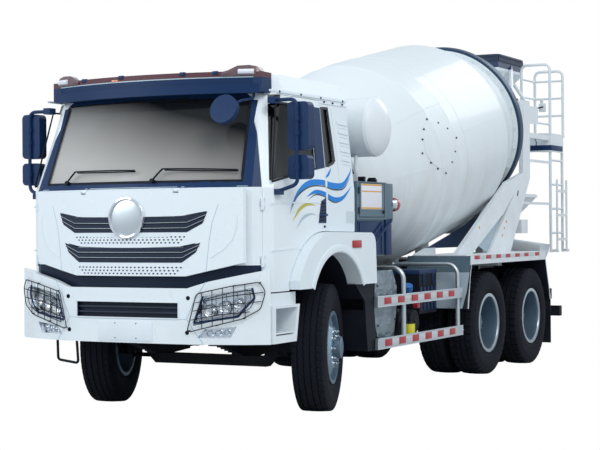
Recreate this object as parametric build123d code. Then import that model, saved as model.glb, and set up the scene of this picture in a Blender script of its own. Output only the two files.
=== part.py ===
# Concrete mixer truck: white cab-over 6x4 truck with an inclined mixing drum.
# Millimetres. +X is the truck's left side, -Y its front, +Z up, z = 0 the ground.
# The model is drawn from the front axle (y = 0) and moved to the middle of its length when written.
from build123d import *
from math import cos, radians, sin
import os

# Overall layout
FRONT_OVERHANG = 1335.0
WHEELBASE = 3625.0
BOGIE = 1350.0
REAR_OVERHANG = 2250.0
LENGTH = FRONT_OVERHANG + WHEELBASE + BOGIE + REAR_OVERHANG
BODY_WIDTH = 2500.0
FRONT_AXLE_Y = FRONT_OVERHANG - LENGTH / 2
REAR_END = LENGTH - FRONT_OVERHANG
REAR_AXLES = (WHEELBASE, WHEELBASE + BOGIE)
BOGIE_Y = WHEELBASE + BOGIE / 2

# Clearances
GAP = 6.0           # shut lines and other open gaps
SEAT = 0.3          # what lies on its seat
RUNNING = 0.05      # radial clearance of a shaft in its bore

# Wheels and tyres
TYRE_R = 540.0
TYRE_W = 290.0
RIM_R = 286.0
RIM_WALL = 14.0
RIM_FLANGE = 22.0
DISC_T = 16.0
FRONT_TRACK = 2040.0
REAR_TRACK = 1850.0
TWIN_SPACING = 332.0
HUB_R = 110.0
HUB_HALF = 106.0
SPINDLE_R = 45.0
AXLE_Z = TYRE_R

# Steering
KINGPIN_X = 860.0
KINGPIN_R = 26.0
KNUCKLE_EYE_R = 52.0
BEAM_EYE_H = 120.0
KNUCKLE_EAR = 46.0
ARM_BACK = 200.0
TIE_ROD_R = 19.0
TIE_EYE_R = 24.0
TIE_PIN_R = 14.0
STEER_REST = 16.5   # the wheels stand turned to the truck's left, as in the photograph

# Frame
RAIL_OUT = 425.0
RAIL_FLANGE = 80.0
RAIL_WEB = 8.0
RAIL_Z = (780.0, 1050.0)
RAIL_Y = (-1120.0, BOGIE_Y + 1880.0)
CROSS_Y = (-1060.0, 1700.0, 2560.0, BOGIE_Y, BOGIE_Y + 1260.0, BOGIE_Y + 1820.0)
CROSS_H = 150.0
CROSS_T = 60.0
COUPLING_X = 300.0   # bolt holes in the last cross member
COUPLING_Z = 90.0
COUPLING_HOLE_R = 9.0
GEARBOX_END = 1440.0
ENGINE_MOUNTS_Y = (-540.0, 260.0)


def box(x, y, z):
    """A block between two corners, each given as (low, high)."""
    size = (x[1] - x[0], y[1] - y[0], z[1] - z[0])
    middle = ((x[0] + x[1]) / 2, (y[0] + y[1]) / 2, (z[0] + z[1]) / 2)
    return Pos(*middle) * Box(*size)


def rod(start, end, radius):
    """A round bar from one point to another."""
    a, b = Vector(*start), Vector(*end)
    plane = Plane(origin=a, z_dir=(b - a))
    return extrude(plane * Circle(radius), (b - a).length)


def ring(x, radii, y=0.0, z=0.0):
    """A tube along X between two places."""
    outer = rod((x[0], y, z), (x[1], y, z), radii[1])
    return outer - rod((x[0] - 1, y, z), (x[1] + 1, y, z), radii[0])


def side_plate(points, x):
    """A flat outline of (y, z) points, drawn from the side and thick along X."""
    corners = [(x[0], p[0], p[1]) for p in points]
    face = make_face(Polyline(*corners, close=True))
    return extrude(face, x[1] - x[0], dir=(1, 0, 0))


def front_plate(points, y):
    """A flat outline of (x, z) points, drawn from the front and thick along Y."""
    corners = [(p[0], y[0], p[1]) for p in points]
    face = make_face(Polyline(*corners, close=True))
    return extrude(face, y[1] - y[0], dir=(0, 1, 0))


def bent_tube(points, radius, bend):
    """A round tube through points, its corners bent to one radius."""
    path = FilletPolyline(*points, radius=bend)
    start = path @ 0
    plane = Plane(origin=start, z_dir=path % 0)
    return sweep(plane * Circle(radius), path=path)


def mirrored(shape):
    return mirror(shape, about=Plane.YZ)


def both(shape):
    """A piece and its twin on the other side, joined in one node."""
    return shape + mirrored(shape)


def turned(shape, centre, degrees_z):
    """A shape turned about a vertical line."""
    x, y = centre
    return Pos(x, y, 0) * Rot(0, 0, degrees_z) * Pos(-x, -y, 0) * shape


def about_x(profile, x, y, z):
    """Revolves a closed (x, radius) outline about a line along X."""
    face = make_face(Polyline(*[(p[0], 0, p[1]) for p in profile], close=True))
    return Pos(x, y, z) * revolve(face, axis=Axis.X)


# Wheels

def tyre(x, y):
    """A tyre on its rim: bead, bulging side wall, shoulder and flat tread."""
    half = TYRE_W / 2
    bead = half - 26
    seat = RIM_R + SEAT
    lip = RIM_R + RIM_FLANGE + 3
    outline = [(-bead, seat), (-bead, lip), (-half + 4, lip + 45), (-half, TYRE_R - 120), (-half + 12, TYRE_R - 34),
               (-half + 30, TYRE_R), (half - 30, TYRE_R), (half - 12, TYRE_R - 34), (half, TYRE_R - 120),
               (half - 4, lip + 45), (bead, lip), (bead, seat)]
    return about_x(outline, x, y, AXLE_Z)


def rim(x, y, centre, lean):
    """A rim's barrel with flanges and a disc with hand holes. centre is the disc's x at the hub, lean how far
    the disc's edge stands from it along X."""
    bead = TYRE_W / 2 - 26
    inner = RIM_R - RIM_WALL
    barrel = [(-bead - 14, inner + 4), (-bead - 14, RIM_R + RIM_FLANGE), (-bead - 2, RIM_R + RIM_FLANGE), (-bead - 2, RIM_R),
              (bead + 2, RIM_R), (bead + 2, RIM_R + RIM_FLANGE), (bead + 14, RIM_R + RIM_FLANGE), (bead + 14, inner + 4),
              (bead - 20, inner), (-bead + 20, inner)]
    shell = about_x(barrel, x, y, AXLE_Z)
    cone = [(-DISC_T / 2, SPINDLE_R + 62), (DISC_T / 2, SPINDLE_R + 62), (DISC_T / 2, 172),
            (DISC_T / 2 + lean, inner + 2), (-DISC_T / 2 + lean, inner + 2), (-DISC_T / 2, 172)]
    disc = about_x(cone, centre, y, AXLE_Z)
    for step in range(8):
        angle = radians(45 * step + 22.5)
        hole = (y + 222 * cos(angle), AXLE_Z + 222 * sin(angle))
        disc -= rod((centre - 90, hole[0], hole[1]), (centre + 90, hole[0], hole[1]), 27)
    return shell + disc


def front_hub(x, face):
    """The hub that carries a front wheel, standing proud of its disc."""
    outline = [(-40, SPINDLE_R + RUNNING), (-40, HUB_R), (0, HUB_R), (0, SPINDLE_R + 60), (70, HUB_R - 20),
               (150, 92), (158, 60), (158, 0), (130, 0), (130, SPINDLE_R + RUNNING)]
    outline = [(face * p[0], p[1]) for p in outline]
    return about_x(outline, x, 0, AXLE_Z)


def front_wheel(side):
    """Tyre and rim of a front wheel, turned with its knuckle. side is +1 left, -1 right."""
    x = side * FRONT_TRACK / 2
    pivot = (side * KINGPIN_X, 0)
    wheel_rim = rim(x, 0, x + side * 60, -side * 26) + front_hub(x + side * 52, side)
    return turned(tyre(x, 0), pivot, STEER_REST), turned(wheel_rim, pivot, STEER_REST)


def rear_wheel(side, y):
    """Twin tyres and rims on one hub."""
    middle = side * REAR_TRACK / 2
    inner = middle - side * TWIN_SPACING / 2
    outer = middle + side * TWIN_SPACING / 2
    tyres = tyre(inner, y) + tyre(outer, y)
    join = HUB_HALF
    outline = [(-join, SPINDLE_R + RUNNING), (-join, SPINDLE_R + 70), (join, SPINDLE_R + 70),
               (join + 70, SPINDLE_R + 60), (join + 90, 60), (join + 90, 0), (join + 50, 0),
               (join + 50, SPINDLE_R + RUNNING)]
    outline = [(side * p[0], p[1]) for p in outline]
    hub = about_x(outline, middle, y, AXLE_Z)
    rims = rim(inner, y, middle - side * (DISC_T / 2 + 1), -side * 60)
    rims += rim(outer, y, middle + side * (DISC_T / 2 + 1), side * 60) + hub
    return tyres, rims


# Steering and axles

def knuckle(side):
    """Two ears on the kingpin, the spindle and the arm that takes the tie rod."""
    x = side * KINGPIN_X
    z = AXLE_Z
    eye = BEAM_EYE_H / 2
    top, low = (z + eye + 0.5, z + eye + KNUCKLE_EAR), (z - eye - KNUCKLE_EAR, z - eye - 0.5)
    body = rod((x, 0, low[0]), (x, 0, low[1]), KNUCKLE_EYE_R) + rod((x, 0, top[0]), (x, 0, top[1]), KNUCKLE_EYE_R)
    web_x = sorted((x + side * 58, x + side * 84))
    body += box(web_x, (-44, 44), (low[0], top[1]))
    ear_x = sorted((x, x + side * 70))
    body += box(ear_x, (-40, 40), low) + box(ear_x, (-40, 40), top)
    body += rod((x + side * 60, 0, z), (side * FRONT_TRACK / 2 + side * 176, 0, z), SPINDLE_R)
    body -= rod((x, 0, low[0] - 1), (x, 0, top[1] + 1), KINGPIN_R + RUNNING)
    tip = (x, ARM_BACK)
    arm = rod((x, 30, low[0] + 18), (tip[0], tip[1], low[0] + 18), 16)
    arm += rod((tip[0], tip[1], low[0] - 2), (tip[0], tip[1], low[0] + 38), TIE_EYE_R)
    arm -= rod((x, 0, low[0] - 1), (x, 0, top[1] + 1), KINGPIN_R + RUNNING)
    pin = rod((tip[0], tip[1], low[0] - 44), (tip[0], tip[1], low[0] + 4), TIE_PIN_R)
    return turned(body + arm + pin, (x, 0), STEER_REST)


def tie_end(side):
    """Where the steered arm's pin stands, in plan."""
    turn = radians(STEER_REST)
    return side * KINGPIN_X - ARM_BACK * sin(turn), ARM_BACK * cos(turn)


def tie_rod():
    z = AXLE_Z - BEAM_EYE_H / 2 - KNUCKLE_EAR - 24
    ends = [tie_end(side) for side in (1, -1)]
    bar = rod((ends[1][0] + 20, ends[1][1], z), (ends[0][0] - 20, ends[0][1], z), TIE_ROD_R)
    for x, y in ends:
        bar += rod((x, y, z - 20), (x, y, z + 21), TIE_EYE_R)
    for x, y in ends:
        bar -= rod((x, y, z - 30), (x, y, z + 30), TIE_PIN_R + RUNNING)
    return bar


def front_axle():
    """A dropped beam with an eye and its kingpin at each end."""
    drop = AXLE_Z - 130
    points = [(-KINGPIN_X, AXLE_Z - 45), (-KINGPIN_X + 170, AXLE_Z - 45), (-KINGPIN_X + 300, drop - 45),
              (KINGPIN_X - 300, drop - 45), (KINGPIN_X - 170, AXLE_Z - 45), (KINGPIN_X, AXLE_Z - 45),
              (KINGPIN_X, AXLE_Z + 45), (KINGPIN_X - 200, AXLE_Z + 45), (KINGPIN_X - 330, drop + 45),
              (-KINGPIN_X + 330, drop + 45), (-KINGPIN_X + 200, AXLE_Z + 45), (-KINGPIN_X, AXLE_Z + 45)]
    beam = front_plate(points, (-42, 42))
    eye = BEAM_EYE_H / 2
    for side in (1, -1):
        x = side * KINGPIN_X
        beam += rod((x, 0, AXLE_Z - eye), (x, 0, AXLE_Z + eye), KNUCKLE_EYE_R)
    for side in (1, -1):
        x = side * KINGPIN_X
        beam += rod((x, 0, AXLE_Z - eye - KNUCKLE_EAR - 6), (x, 0, AXLE_Z + eye + KNUCKLE_EAR + 6), KINGPIN_R)
    return beam


SPRING_X = (400.0, 470.0)
FRONT_SPRING_PACK = (8, 15.0)   # leaves, thickness


def front_springs():
    """A stack of leaves over each end of the beam, shackled to the rails."""
    low = AXLE_Z - 130 + 45 + SEAT
    parts = Part()
    half = 720.0
    leaves, thick = FRONT_SPRING_PACK
    for index in range(leaves):
        reach = half * (1 - 0.085 * (leaves - 1 - index))
        rise = low + index * thick
        parts += side_plate([(-reach, rise + reach * 0.06), (0, rise), (reach, rise + reach * 0.06),
                             (reach, rise + reach * 0.06 + thick), (0, rise + thick),
                             (-reach, rise + reach * 0.06 + thick)], (SPRING_X[0], SPRING_X[1]))
    top = low + leaves * thick + half * 0.06
    for y in (-half + 20, half - 20):
        parts += box((SPRING_X[0], SPRING_X[1]), (y - 35, y + 35), (top - 30, RAIL_Z[0] - SEAT))
        parts += box((RAIL_OUT + SEAT, SPRING_X[1]), (y - 35, y + 35), (RAIL_Z[0] - SEAT, RAIL_Z[1] - 60))
    return parts


BOGIE_SEAT_Z = 690.0
BOGIE_LEAF_T = 25.0
BOGIE_SAG = 90.0
BOGIE_REACH = BOGIE / 2 + 60
BOGIE_TOP_Z = BOGIE_SEAT_Z + 150
BOGIE_PAD_Z = BOGIE_TOP_Z - BOGIE_LEAF_T - BOGIE_SAG * (BOGIE / 2 + 28) / BOGIE_REACH - SEAT
REAR_SPRING_X = (440.0, 540.0)


def bogie_springs():
    """An inverted stack over both rear axles, turning on the bogie's trunnion."""
    parts = Part()
    leaf = BOGIE_LEAF_T
    for index in range(6):
        length = BOGIE_REACH * (1 - 0.13 * index)
        z = BOGIE_TOP_Z - leaf * index
        sag = BOGIE_SAG * (length / BOGIE_REACH)
        parts += side_plate([(BOGIE_Y - length, z - sag - leaf), (BOGIE_Y, z - leaf), (BOGIE_Y + length, z - sag - leaf),
                             (BOGIE_Y + length, z - sag), (BOGIE_Y, z), (BOGIE_Y - length, z - sag)],
                            REAR_SPRING_X)
    bracket = [(BOGIE_Y - 190, RAIL_Z[1] - 60), (BOGIE_Y + 190, RAIL_Z[1] - 60), (BOGIE_Y + 90, AXLE_Z - 60),
               (BOGIE_Y - 90, AXLE_Z - 60)]
    parts += side_plate(bracket, (RAIL_OUT + SEAT, REAR_SPRING_X[0]))
    parts += rod((RAIL_OUT + SEAT, BOGIE_Y, AXLE_Z + 20), (REAR_SPRING_X[1] + 20, BOGIE_Y, AXLE_Z + 20), 70)
    parts += box(REAR_SPRING_X, (BOGIE_Y - 80, BOGIE_Y + 80), (AXLE_Z + 60, BOGIE_SEAT_Z + 2))
    return parts


def rear_axle(y):
    """A banjo casing with its differential and the stub ends that carry the hubs."""
    end = REAR_TRACK / 2 + HUB_HALF + 46
    casing = rod((-560, y, AXLE_Z), (560, y, AXLE_Z), 68)
    casing += rod((-end, y, AXLE_Z), (end, y, AXLE_Z), SPINDLE_R)
    banjo = rod((-90, y, AXLE_Z), (90, y, AXLE_Z), 205)
    nose = Pos(0, y - 200, AXLE_Z) * Rot(90, 0, 0) * Cone(140, 80, 220)
    pads = box((REAR_SPRING_X[0], REAR_SPRING_X[1]), (y - 28, y + 28), (AXLE_Z, BOGIE_PAD_Z))
    return casing + banjo + nose + both(pads)


def propeller_shafts():
    """The shafts from the gearbox to the first rear axle and between the two."""
    first, second = REAR_AXLES
    parts = Part()
    parts += rod((0, GEARBOX_END + SEAT, 770), (0, GEARBOX_END + 160, 770), 80)
    parts += rod((0, GEARBOX_END + 150, 770), (0, first - 350, AXLE_Z), 50)
    parts += rod((0, first - 362, AXLE_Z), (0, first - 310 - SEAT, AXLE_Z), 60)
    parts += rod((0, first + 205 + SEAT, AXLE_Z), (0, second - 310 - SEAT, AXLE_Z), 50)
    return parts


def frame_rails():
    """Two channel rails joined by cross members: one ladder."""
    length = (RAIL_Y[0], RAIL_Y[1])
    z0, z1 = RAIL_Z
    rail = box((RAIL_OUT - RAIL_WEB, RAIL_OUT), length, (z0, z1))
    rail += box((RAIL_OUT - RAIL_FLANGE, RAIL_OUT), length, (z0, z0 + RAIL_WEB))
    rail += box((RAIL_OUT - RAIL_FLANGE, RAIL_OUT), length, (z1 - RAIL_WEB, z1))
    frame = both(rail)
    middle = (z0 + z1) / 2
    for y in CROSS_Y:
        inside = RAIL_OUT - RAIL_WEB
        frame += box((-inside, inside), (y - CROSS_T / 2, y + CROSS_T / 2), (middle - CROSS_H / 2, middle + CROSS_H / 2))
    end = CROSS_Y[-1]
    for x in (-COUPLING_X / 2, COUPLING_X / 2):
        for z in (middle - COUPLING_Z / 2, middle + COUPLING_Z / 2):
            frame -= rod((x, end - CROSS_T, z), (x, end + CROSS_T, z), COUPLING_HOLE_R)
    return frame + chute_bracket()


def engine_block():
    """Engine and gearbox as one block, and the radiator in front of it."""
    engine = box((-300, 300), (-900, 420), (700, 1340)) - box((-301, 301), (-130, 130), (600, 800))
    gearbox = side_plate([(420, 620), (420, 1100), (1150, 960), (GEARBOX_END, 880), (GEARBOX_END, 660),
                          (1150, 560)], (-190, 190))
    between = RAIL_OUT - RAIL_FLANGE - SEAT
    radiator = box((-between, between), (CROSS_Y[0] + CROSS_T / 2 + SEAT, -945), (640, 1345))
    for y in ENGINE_MOUNTS_Y:
        engine += both(box((299, RAIL_OUT - RAIL_WEB - SEAT), (y - 60, y + 60), (880, 960)))
    return engine + radiator + gearbox


# Cab: outlines at a height, drawn from above
CAB_T = 50.0                   # walls and doors
CAB_HALF = 1150.0              # half width up to the waist
CAB_TOP_HALF = 1075.0          # half width under the roof
CAB_REAR = 500.0
CAB_SKIRT_Z = 1050.0
WAIST_Z = 1870.0
ROOF_Z = (2660.0, 2790.0)
FRONT_WAIST = (-1265.0, -1090.0)   # middle of the front and its corner, at the waist
FRONT_TOP = (-960.0, -800.0)       # the same under the roof
FRONT_CROWN = (-880.0, -740.0)     # the same on the roof
CORNER_IN = 130.0                  # how far the corner is rounded back from the side
DOOR_Y = (-1040.0, -40.0)
DOOR_TOP_Z = 2620.0
FLOOR_Z = (1395.0, 1440.0)
SCREEN_Z = (1920.0, 2600.0)
SCREEN_HALF = (935.0, 880.0)

HINGE_AT = (1085.0, -1042.0)       # the left door's axis, from above
HINGE_HEIGHTS = (1292.0, 1740.0)
HINGE_PIN_R = 8.0
HINGE_LUG_R = 16.0
HINGE_HALF = 20.0
DOOR_SWEEP_R = 100.0                # room that the door's front edge turns in

GLASS_T = 7.0
VISOR_Z = (2625.0, 2800.0)

# Front lid, bumper and lamps
LID_HALF = 985.0
LID_MIDDLE = -1318.0
LID_CORNER = -1168.0
LID_T = 42.0
LID_Z = (1175.0, 1862.0)
LID_HINGE = (-1272.0, 1856.0)
LID_HINGE_X = 440.0
UPPER_SLATS = (1528.0, 1566.0, 1604.0, 1642.0)
LOWER_SLATS = (1322.0, 1358.0, 1394.0)
SLAT_H = 14.0
EMBLEM_Z = 1640.0
EMBLEM_R = 165.0
BUMPER_Z = (648.0, 1235.0)
BUMPER_MIDDLE_Z = 1085.0
BUMPER_HALF = 1180.0
BUMPER_BACK = -1090.0
BUMPER_T = 46.0
INTAKE_Z = (850.0, 972.0)
HEADLAMP = [(620.0, 815.0), (960.0, 868.0), (1075.0, 1010.0), (1060.0, 1090.0), (690.0, 1025.0)]
FOG_LAMP = [(640.0, 700.0), (900.0, 700.0), (950.0, 790.0), (700.0, 768.0)]

# Front fender: outline from the side
ARCH_Y = (-720.0, 755.0)
ARCH_TOP_Z = 1515.0
ARCH_LOW_Z = 1060.0
ARCH_RADIUS = 505.0
ARCH_OPEN_TOP = 1345.0
FENDER_X = (1101.0, 1245.0)
LINER_X = 560.0
STEP_X = (780.0, 1200.0)
STEP_Y = (-1084.0, -640.0)
STEP_Z = (650.0, 945.0)
MIRROR_X = 1300.0
MIRROR_Y = -790.0
MIRROR_HEADS = ((2165.0, 2546.0), (1935.0, 2125.0))

# Things hung on the frame
TANK_Y = (1000.0, 2250.0)
AIR_TANKS_Y = (1760.0, 2040.0)
GUARD_X = 1215.0
GUARD_Y = (830.0, 2900.0)
GUARD_RAILS = ((462.0, 560.0), (838.0, 936.0))
GUARD_POSTS = (1510.0, 2870.0)
SUBFRAME_Y = (760.0, BOGIE_Y + 1850.0)
SUBFRAME_Z = 1105.0
SILL_OUT = 20.0
REAR_FENDER_Y = (BOGIE_Y - 1390.0, BOGIE_Y + 1260.0)

# Mixing drum: places along its axis are measured from the track ring, rearwards positive
DRUM_TILT = 11.5
DRUM_RING_AT = (BOGIE_Y + 1120.0, 2700.0)
DRUM_T = 12.0
DRUM_FRONT_S = -4050.0
DRUM_R = 1080.0
DRUM_SEAM_S = -2050.0
DRUM_BELT_R = 905.0
MOUTH_R = 520.0
MOUTH_S = 720.0
RING_R = 975.0
RING_W = 110.0
DRUM_OUTER_FRONT = [(DRUM_FRONT_S, 200.0), (-3980.0, 430.0), (-3850.0, 640.0), (-2700.0, 1060.0),
                    (-2300.0, DRUM_R), (DRUM_SEAM_S, DRUM_R)]
DRUM_OUTER_REAR = [(DRUM_SEAM_S, DRUM_R), (-800.0, DRUM_R), (-90.0, DRUM_BELT_R), (90.0, DRUM_BELT_R),
                   (MOUTH_S, MOUTH_R)]
ROLLER_R = 130.0
ROLLER_PIN = 35.0
ROLLER_GAP = 0.5
ROLLER_ANGLE = 36.0
LEG_LOW = 1237.0
STAND_TOP = 3030.0
STAND_REAR_Y = BOGIE_Y + 1570.0
LEG_KNEE = (STAND_REAR_Y, 2120.0)
REAR_LEG_Y = (BOGIE_Y + 150.0, BOGIE_Y + 850.0)
FRONT_LEG_Y = (BOGIE_Y - 850.0, BOGIE_Y - 400.0)
STAND_X = (870.0, 920.0)

# Water tank, cabinet and rear body
WATER_AT = (1000.0, 2450.0)
WATER_R = 265.0
WATER_HALF = 1190.0
CABINET_X = 1080.0
CABINET_Y = (700.0, 1340.0)
FENDER_TOP = 1258.0
LADDER_PIN_R = 9.0
BRACE_Z = (2330.0, 1820.0)
PLATFORM_X = (520.0, 920.0)
PLATFORM_Y = (REAR_END - 550, REAR_END)
PLATFORM_Z = 2690.0
PLATFORM_TOP = 3545.0
RAIL_R = 17.0
RAIL_HEIGHTS = (250.0, 470.0, 690.0)
LADDER_LOW = 1220.0
LADDER_PITCH = 300.0
LADDER_RUNGS = 4
FOLD_OUT = 46.0
FOLD_LENGTH = 900.0
CHUTE_PIVOT = (0.0, STAND_REAR_Y + 870.0)
CHUTE_BEARING_Z = (930.0, 1040.0)
CHUTE_PIN_R = 40.0
CHUTE_HINGE_X = -120.0
CHUTE_HINGE_Z = 1395.0
CHUTE_SLOPE = 8.0
CHUTE_R = 190.0
CHUTE_LENGTH = 970.0
HOPPER_HALF = 470.0
HOPPER_Z = 3630.0
FUNNEL_Z = (1480.0, 1930.0)


def cab_outline(half, middle, corner, rear, inset, z):
    """Front bowed between two cut corners, straight sides and rear."""
    side = half - inset
    front = middle + inset
    bend = corner + inset * 0.9
    turn = side - CORNER_IN + inset * 0.4
    back = rear - inset
    edge = Line((-side, bend + 110, z), (-side, back, z)) + Line((-side, back, z), (side, back, z))
    edge += Line((side, back, z), (side, bend + 110, z)) + Line((side, bend + 110, z), (turn, bend, z))
    edge += ThreePointArc((turn, bend, z), (0, front, z), (-turn, bend, z))
    edge += Line((-turn, bend, z), (-side, bend + 110, z))
    return make_face(edge)


def cab_solid(inset, low, high):
    """The cab's outer form, or its inside when it is set in by a wall."""
    lower = [cab_outline(CAB_HALF, FRONT_WAIST[0], FRONT_WAIST[1], CAB_REAR, inset, z) for z in (low, WAIST_Z)]
    upper_z = (WAIST_Z, ROOF_Z[0] - inset * 0.2)
    upper = [cab_outline(CAB_HALF, FRONT_WAIST[0], FRONT_WAIST[1], CAB_REAR, inset, upper_z[0]),
             cab_outline(CAB_TOP_HALF, FRONT_TOP[0], FRONT_TOP[1], CAB_REAR - 20, inset, upper_z[1])]
    crown = [upper[1], cab_outline(CAB_TOP_HALF - 60, FRONT_CROWN[0], FRONT_CROWN[1], CAB_REAR - 60, inset, high)]
    return loft(lower, ruled=True) + loft(upper, ruled=True) + loft(crown, ruled=True)


def wheel_arch(lift, low):
    """The fender's outer outline seen from the side, as a face of (y, z)."""
    x = 0
    top = ARCH_TOP_Z + lift
    edge = Line((x, ARCH_Y[0] - lift, low), (x, ARCH_Y[0] - lift, 1130))
    edge += ThreePointArc((x, ARCH_Y[0] - lift, 1130), (x, -480 - lift * 0.7, 1400 + lift * 0.7), (x, -60, top))
    edge += Line((x, -60, top), (x, ARCH_Y[1] - 110, top - 10))
    edge += ThreePointArc((x, ARCH_Y[1] - 110, top - 10), (x, ARCH_Y[1] - 50, top - 40), (x, ARCH_Y[1] - 20, top - 110))
    edge += Line((x, ARCH_Y[1] - 20, top - 110), (x, ARCH_Y[1], low))
    edge += Line((x, ARCH_Y[1], low), (x, ARCH_Y[0] - lift, low))
    return make_face(edge)


def arch_solid(x, lift, low):
    return Pos(x[0], 0, 0) * extrude(wheel_arch(lift, low), x[1] - x[0], dir=(1, 0, 0))


def arch_opening(x, radius, top, low):
    """The round opening over the tyre, down to a level."""
    centre = top - radius
    return rod((x[0], 0, centre), (x[1], 0, centre), radius) & box(x, (-radius, radius), (low, top + 1))


def windscreen_cut(inset, reach):
    """A prism leaning with the screen, used for the opening and for its glass."""
    low, high = SCREEN_Z[0] + inset, SCREEN_Z[1] - inset
    half = (SCREEN_HALF[0] - inset, SCREEN_HALF[1] - inset)
    return front_plate([(-half[0], low), (half[0], low), (half[1], high), (-half[1], high)], reach)


def side_window(points, inset):
    """A window outline of (y, z) made smaller on every side."""
    ys = [p[0] for p in points]
    zs = [p[1] for p in points]
    middle = (sum(ys) / len(ys), sum(zs) / len(zs))
    small = []
    for y, z in points:
        small.append((y + (inset if y < middle[0] else -inset), z + (inset if z < middle[1] else -inset)))
    return small


def cab_shell():
    """Outer form less its inside: walls, roof and front in one, before they are parted."""
    outer = cab_solid(0, CAB_SKIRT_Z, ROOF_Z[1])
    inner = cab_solid(CAB_T, CAB_SKIRT_Z - 10, ROOF_Z[1] - CAB_T)
    shell = outer - inner - windscreen_cut(0, (-1500, -600))
    arch = arch_solid((-1400, 1400), GAP, CAB_SKIRT_Z - 20)
    shell -= arch
    shell -= box((-2000, 2000), (ARCH_Y[1] - 260, 2000), (0, ARCH_TOP_Z + GAP))
    return shell


def door_zone(inset):
    """The space of a door on the left, its lower edge following the arch."""
    y = (DOOR_Y[0] + inset, DOOR_Y[1] - inset)
    front_top = DOOR_Y[0] + 190 + inset
    outline = [(y[0], CAB_SKIRT_Z - 5), (y[1], CAB_SKIRT_Z - 5), (y[1], DOOR_TOP_Z - inset),
               (front_top, DOOR_TOP_Z - inset), (y[0], WAIST_Z)]
    return side_plate(outline, (CAB_HALF - CAB_T - 160, CAB_HALF + 60))


def hinge_rods(radius, spans):
    """Upright cylinders on the left door's axis, at each hinge, for every (low, high) span about its middle."""
    parts = Part()
    x, y = HINGE_AT
    for height in HINGE_HEIGHTS:
        for low, high in spans:
            parts += rod((x, y, height + low), (x, y, height + high), radius)
    return parts


def hinge_on_cab(front):
    """Adds the fixed lugs and pins of the left door's hinges and clears the door's knuckles."""
    outer = HINGE_HALF + 24
    front -= hinge_rods(HINGE_LUG_R + GAP, [(-HINGE_HALF - 1, HINGE_HALF + 1)])
    front += hinge_rods(HINGE_LUG_R, [(-outer, -HINGE_HALF - 1), (HINGE_HALF + 1, outer)])
    return front + hinge_rods(HINGE_PIN_R, [(-outer, outer)])


def hinge_on_door(door):
    """Adds the door's knuckles with their bores and clears the fixed lugs."""
    outer = HINGE_HALF + 25
    door -= hinge_rods(HINGE_LUG_R + GAP, [(-outer, -HINGE_HALF), (HINGE_HALF, outer)])
    door += hinge_rods(HINGE_LUG_R, [(-HINGE_HALF, HINGE_HALF)])
    return door - hinge_rods(HINGE_PIN_R + RUNNING, [(-outer, outer)])


DOOR_WINDOW = [(-985.0, 1925.0), (-215.0, 2045.0), (-205.0, 2545.0), (-800.0, 2545.0)]
REAR_WINDOW = [(30.0, 2080.0), (130.0, 2110.0), (100.0, 2550.0), (20.0, 2550.0)]


def cab_panels():
    """The shell parted where the real panels meet, as a dict of node name to shape."""
    shell = cab_shell()
    zone = door_zone(0)
    doors = shell & door_zone(GAP / 2)
    shell = shell - zone - mirrored(zone)
    across = (-2000, 2000)
    roof = shell & box(across, (-2000, 2000), (ROOF_Z[0] + 1, 3000))
    rest = shell & box(across, (-2000, 2000), (0, ROOF_Z[0] + 1))
    rear = rest & box(across, (CAB_REAR - CAB_T, 2000), (0, 3000))
    rest = rest & box(across, (-2000, CAB_REAR - CAB_T), (0, 3000))
    front = rest & box(across, (-2000, DOOR_Y[0] + 195), (0, 3000))
    sides = rest & box(across, (DOOR_Y[0] + 195, 2000), (0, 3000))
    cut = side_plate(REAR_WINDOW, (900, 1300))
    sides = sides - cut - mirrored(cut)
    door = doors - side_plate(DOOR_WINDOW, (900, 1300))
    rear -= front_plate([(-620, 2120), (620, 2120), (620, 2520), (-620, 2520)], (0, 1000))
    front = mirrored(hinge_on_cab(mirrored(hinge_on_cab(front)))) + both(lid_lug())
    door = hinge_on_door(door)
    return {"cab_roof": roof, "cab_rear": rear, "cab_front": front, "cab_sides": sides, "door_left": door,
            "door_right": mirrored(door)}


def bow_at(half):
    """How far back the lid's face has curved at a distance from the middle."""
    return LID_MIDDLE + (LID_CORNER - LID_MIDDLE) * (half / LID_HALF) ** 2


def bowed_band(half, middle, corner, depth, z):
    """A band bowed like the cab's front, from above: outer face at middle, thick towards the cab."""
    edge = ThreePointArc((-half, corner, z[0]), (0, middle, z[0]), (half, corner, z[0]))
    edge += Line((half, corner, z[0]), (half, corner + depth, z[0]))
    edge += ThreePointArc((half, corner + depth, z[0]), (0, middle + depth, z[0]), (-half, corner + depth, z[0]))
    edge += Line((-half, corner + depth, z[0]), (-half, corner, z[0]))
    return extrude(make_face(edge), z[1] - z[0], dir=(0, 0, 1))


def intake(points):
    """An opening through the lid, from (x, z) points of its left half."""
    return both(front_plate(points, (LID_MIDDLE - 60, LID_MIDDLE + 320)))


UPPER_INTAKE = [(0.0, 1490.0), (430.0, 1530.0), (700.0, 1690.0), (500.0, 1655.0), (0.0, 1625.0)]
LOWER_INTAKE = [(0.0, 1290.0), (450.0, 1300.0), (610.0, 1440.0), (470.0, 1412.0), (0.0, 1400.0)]


def lid_lug():
    """The cab's lug that holds the lid's pin on the left."""
    y, z = LID_HINGE
    x = (LID_HINGE_X - 20, LID_HINGE_X + 20)
    lug = rod((x[0], y, z), (x[1], y, z), 14) + box(x, (y, y + 76), (z - 14, z + 14))
    return lug - rod((x[0] - 1, y, z), (x[1] + 1, y, z), HINGE_PIN_R + RUNNING)


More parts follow.
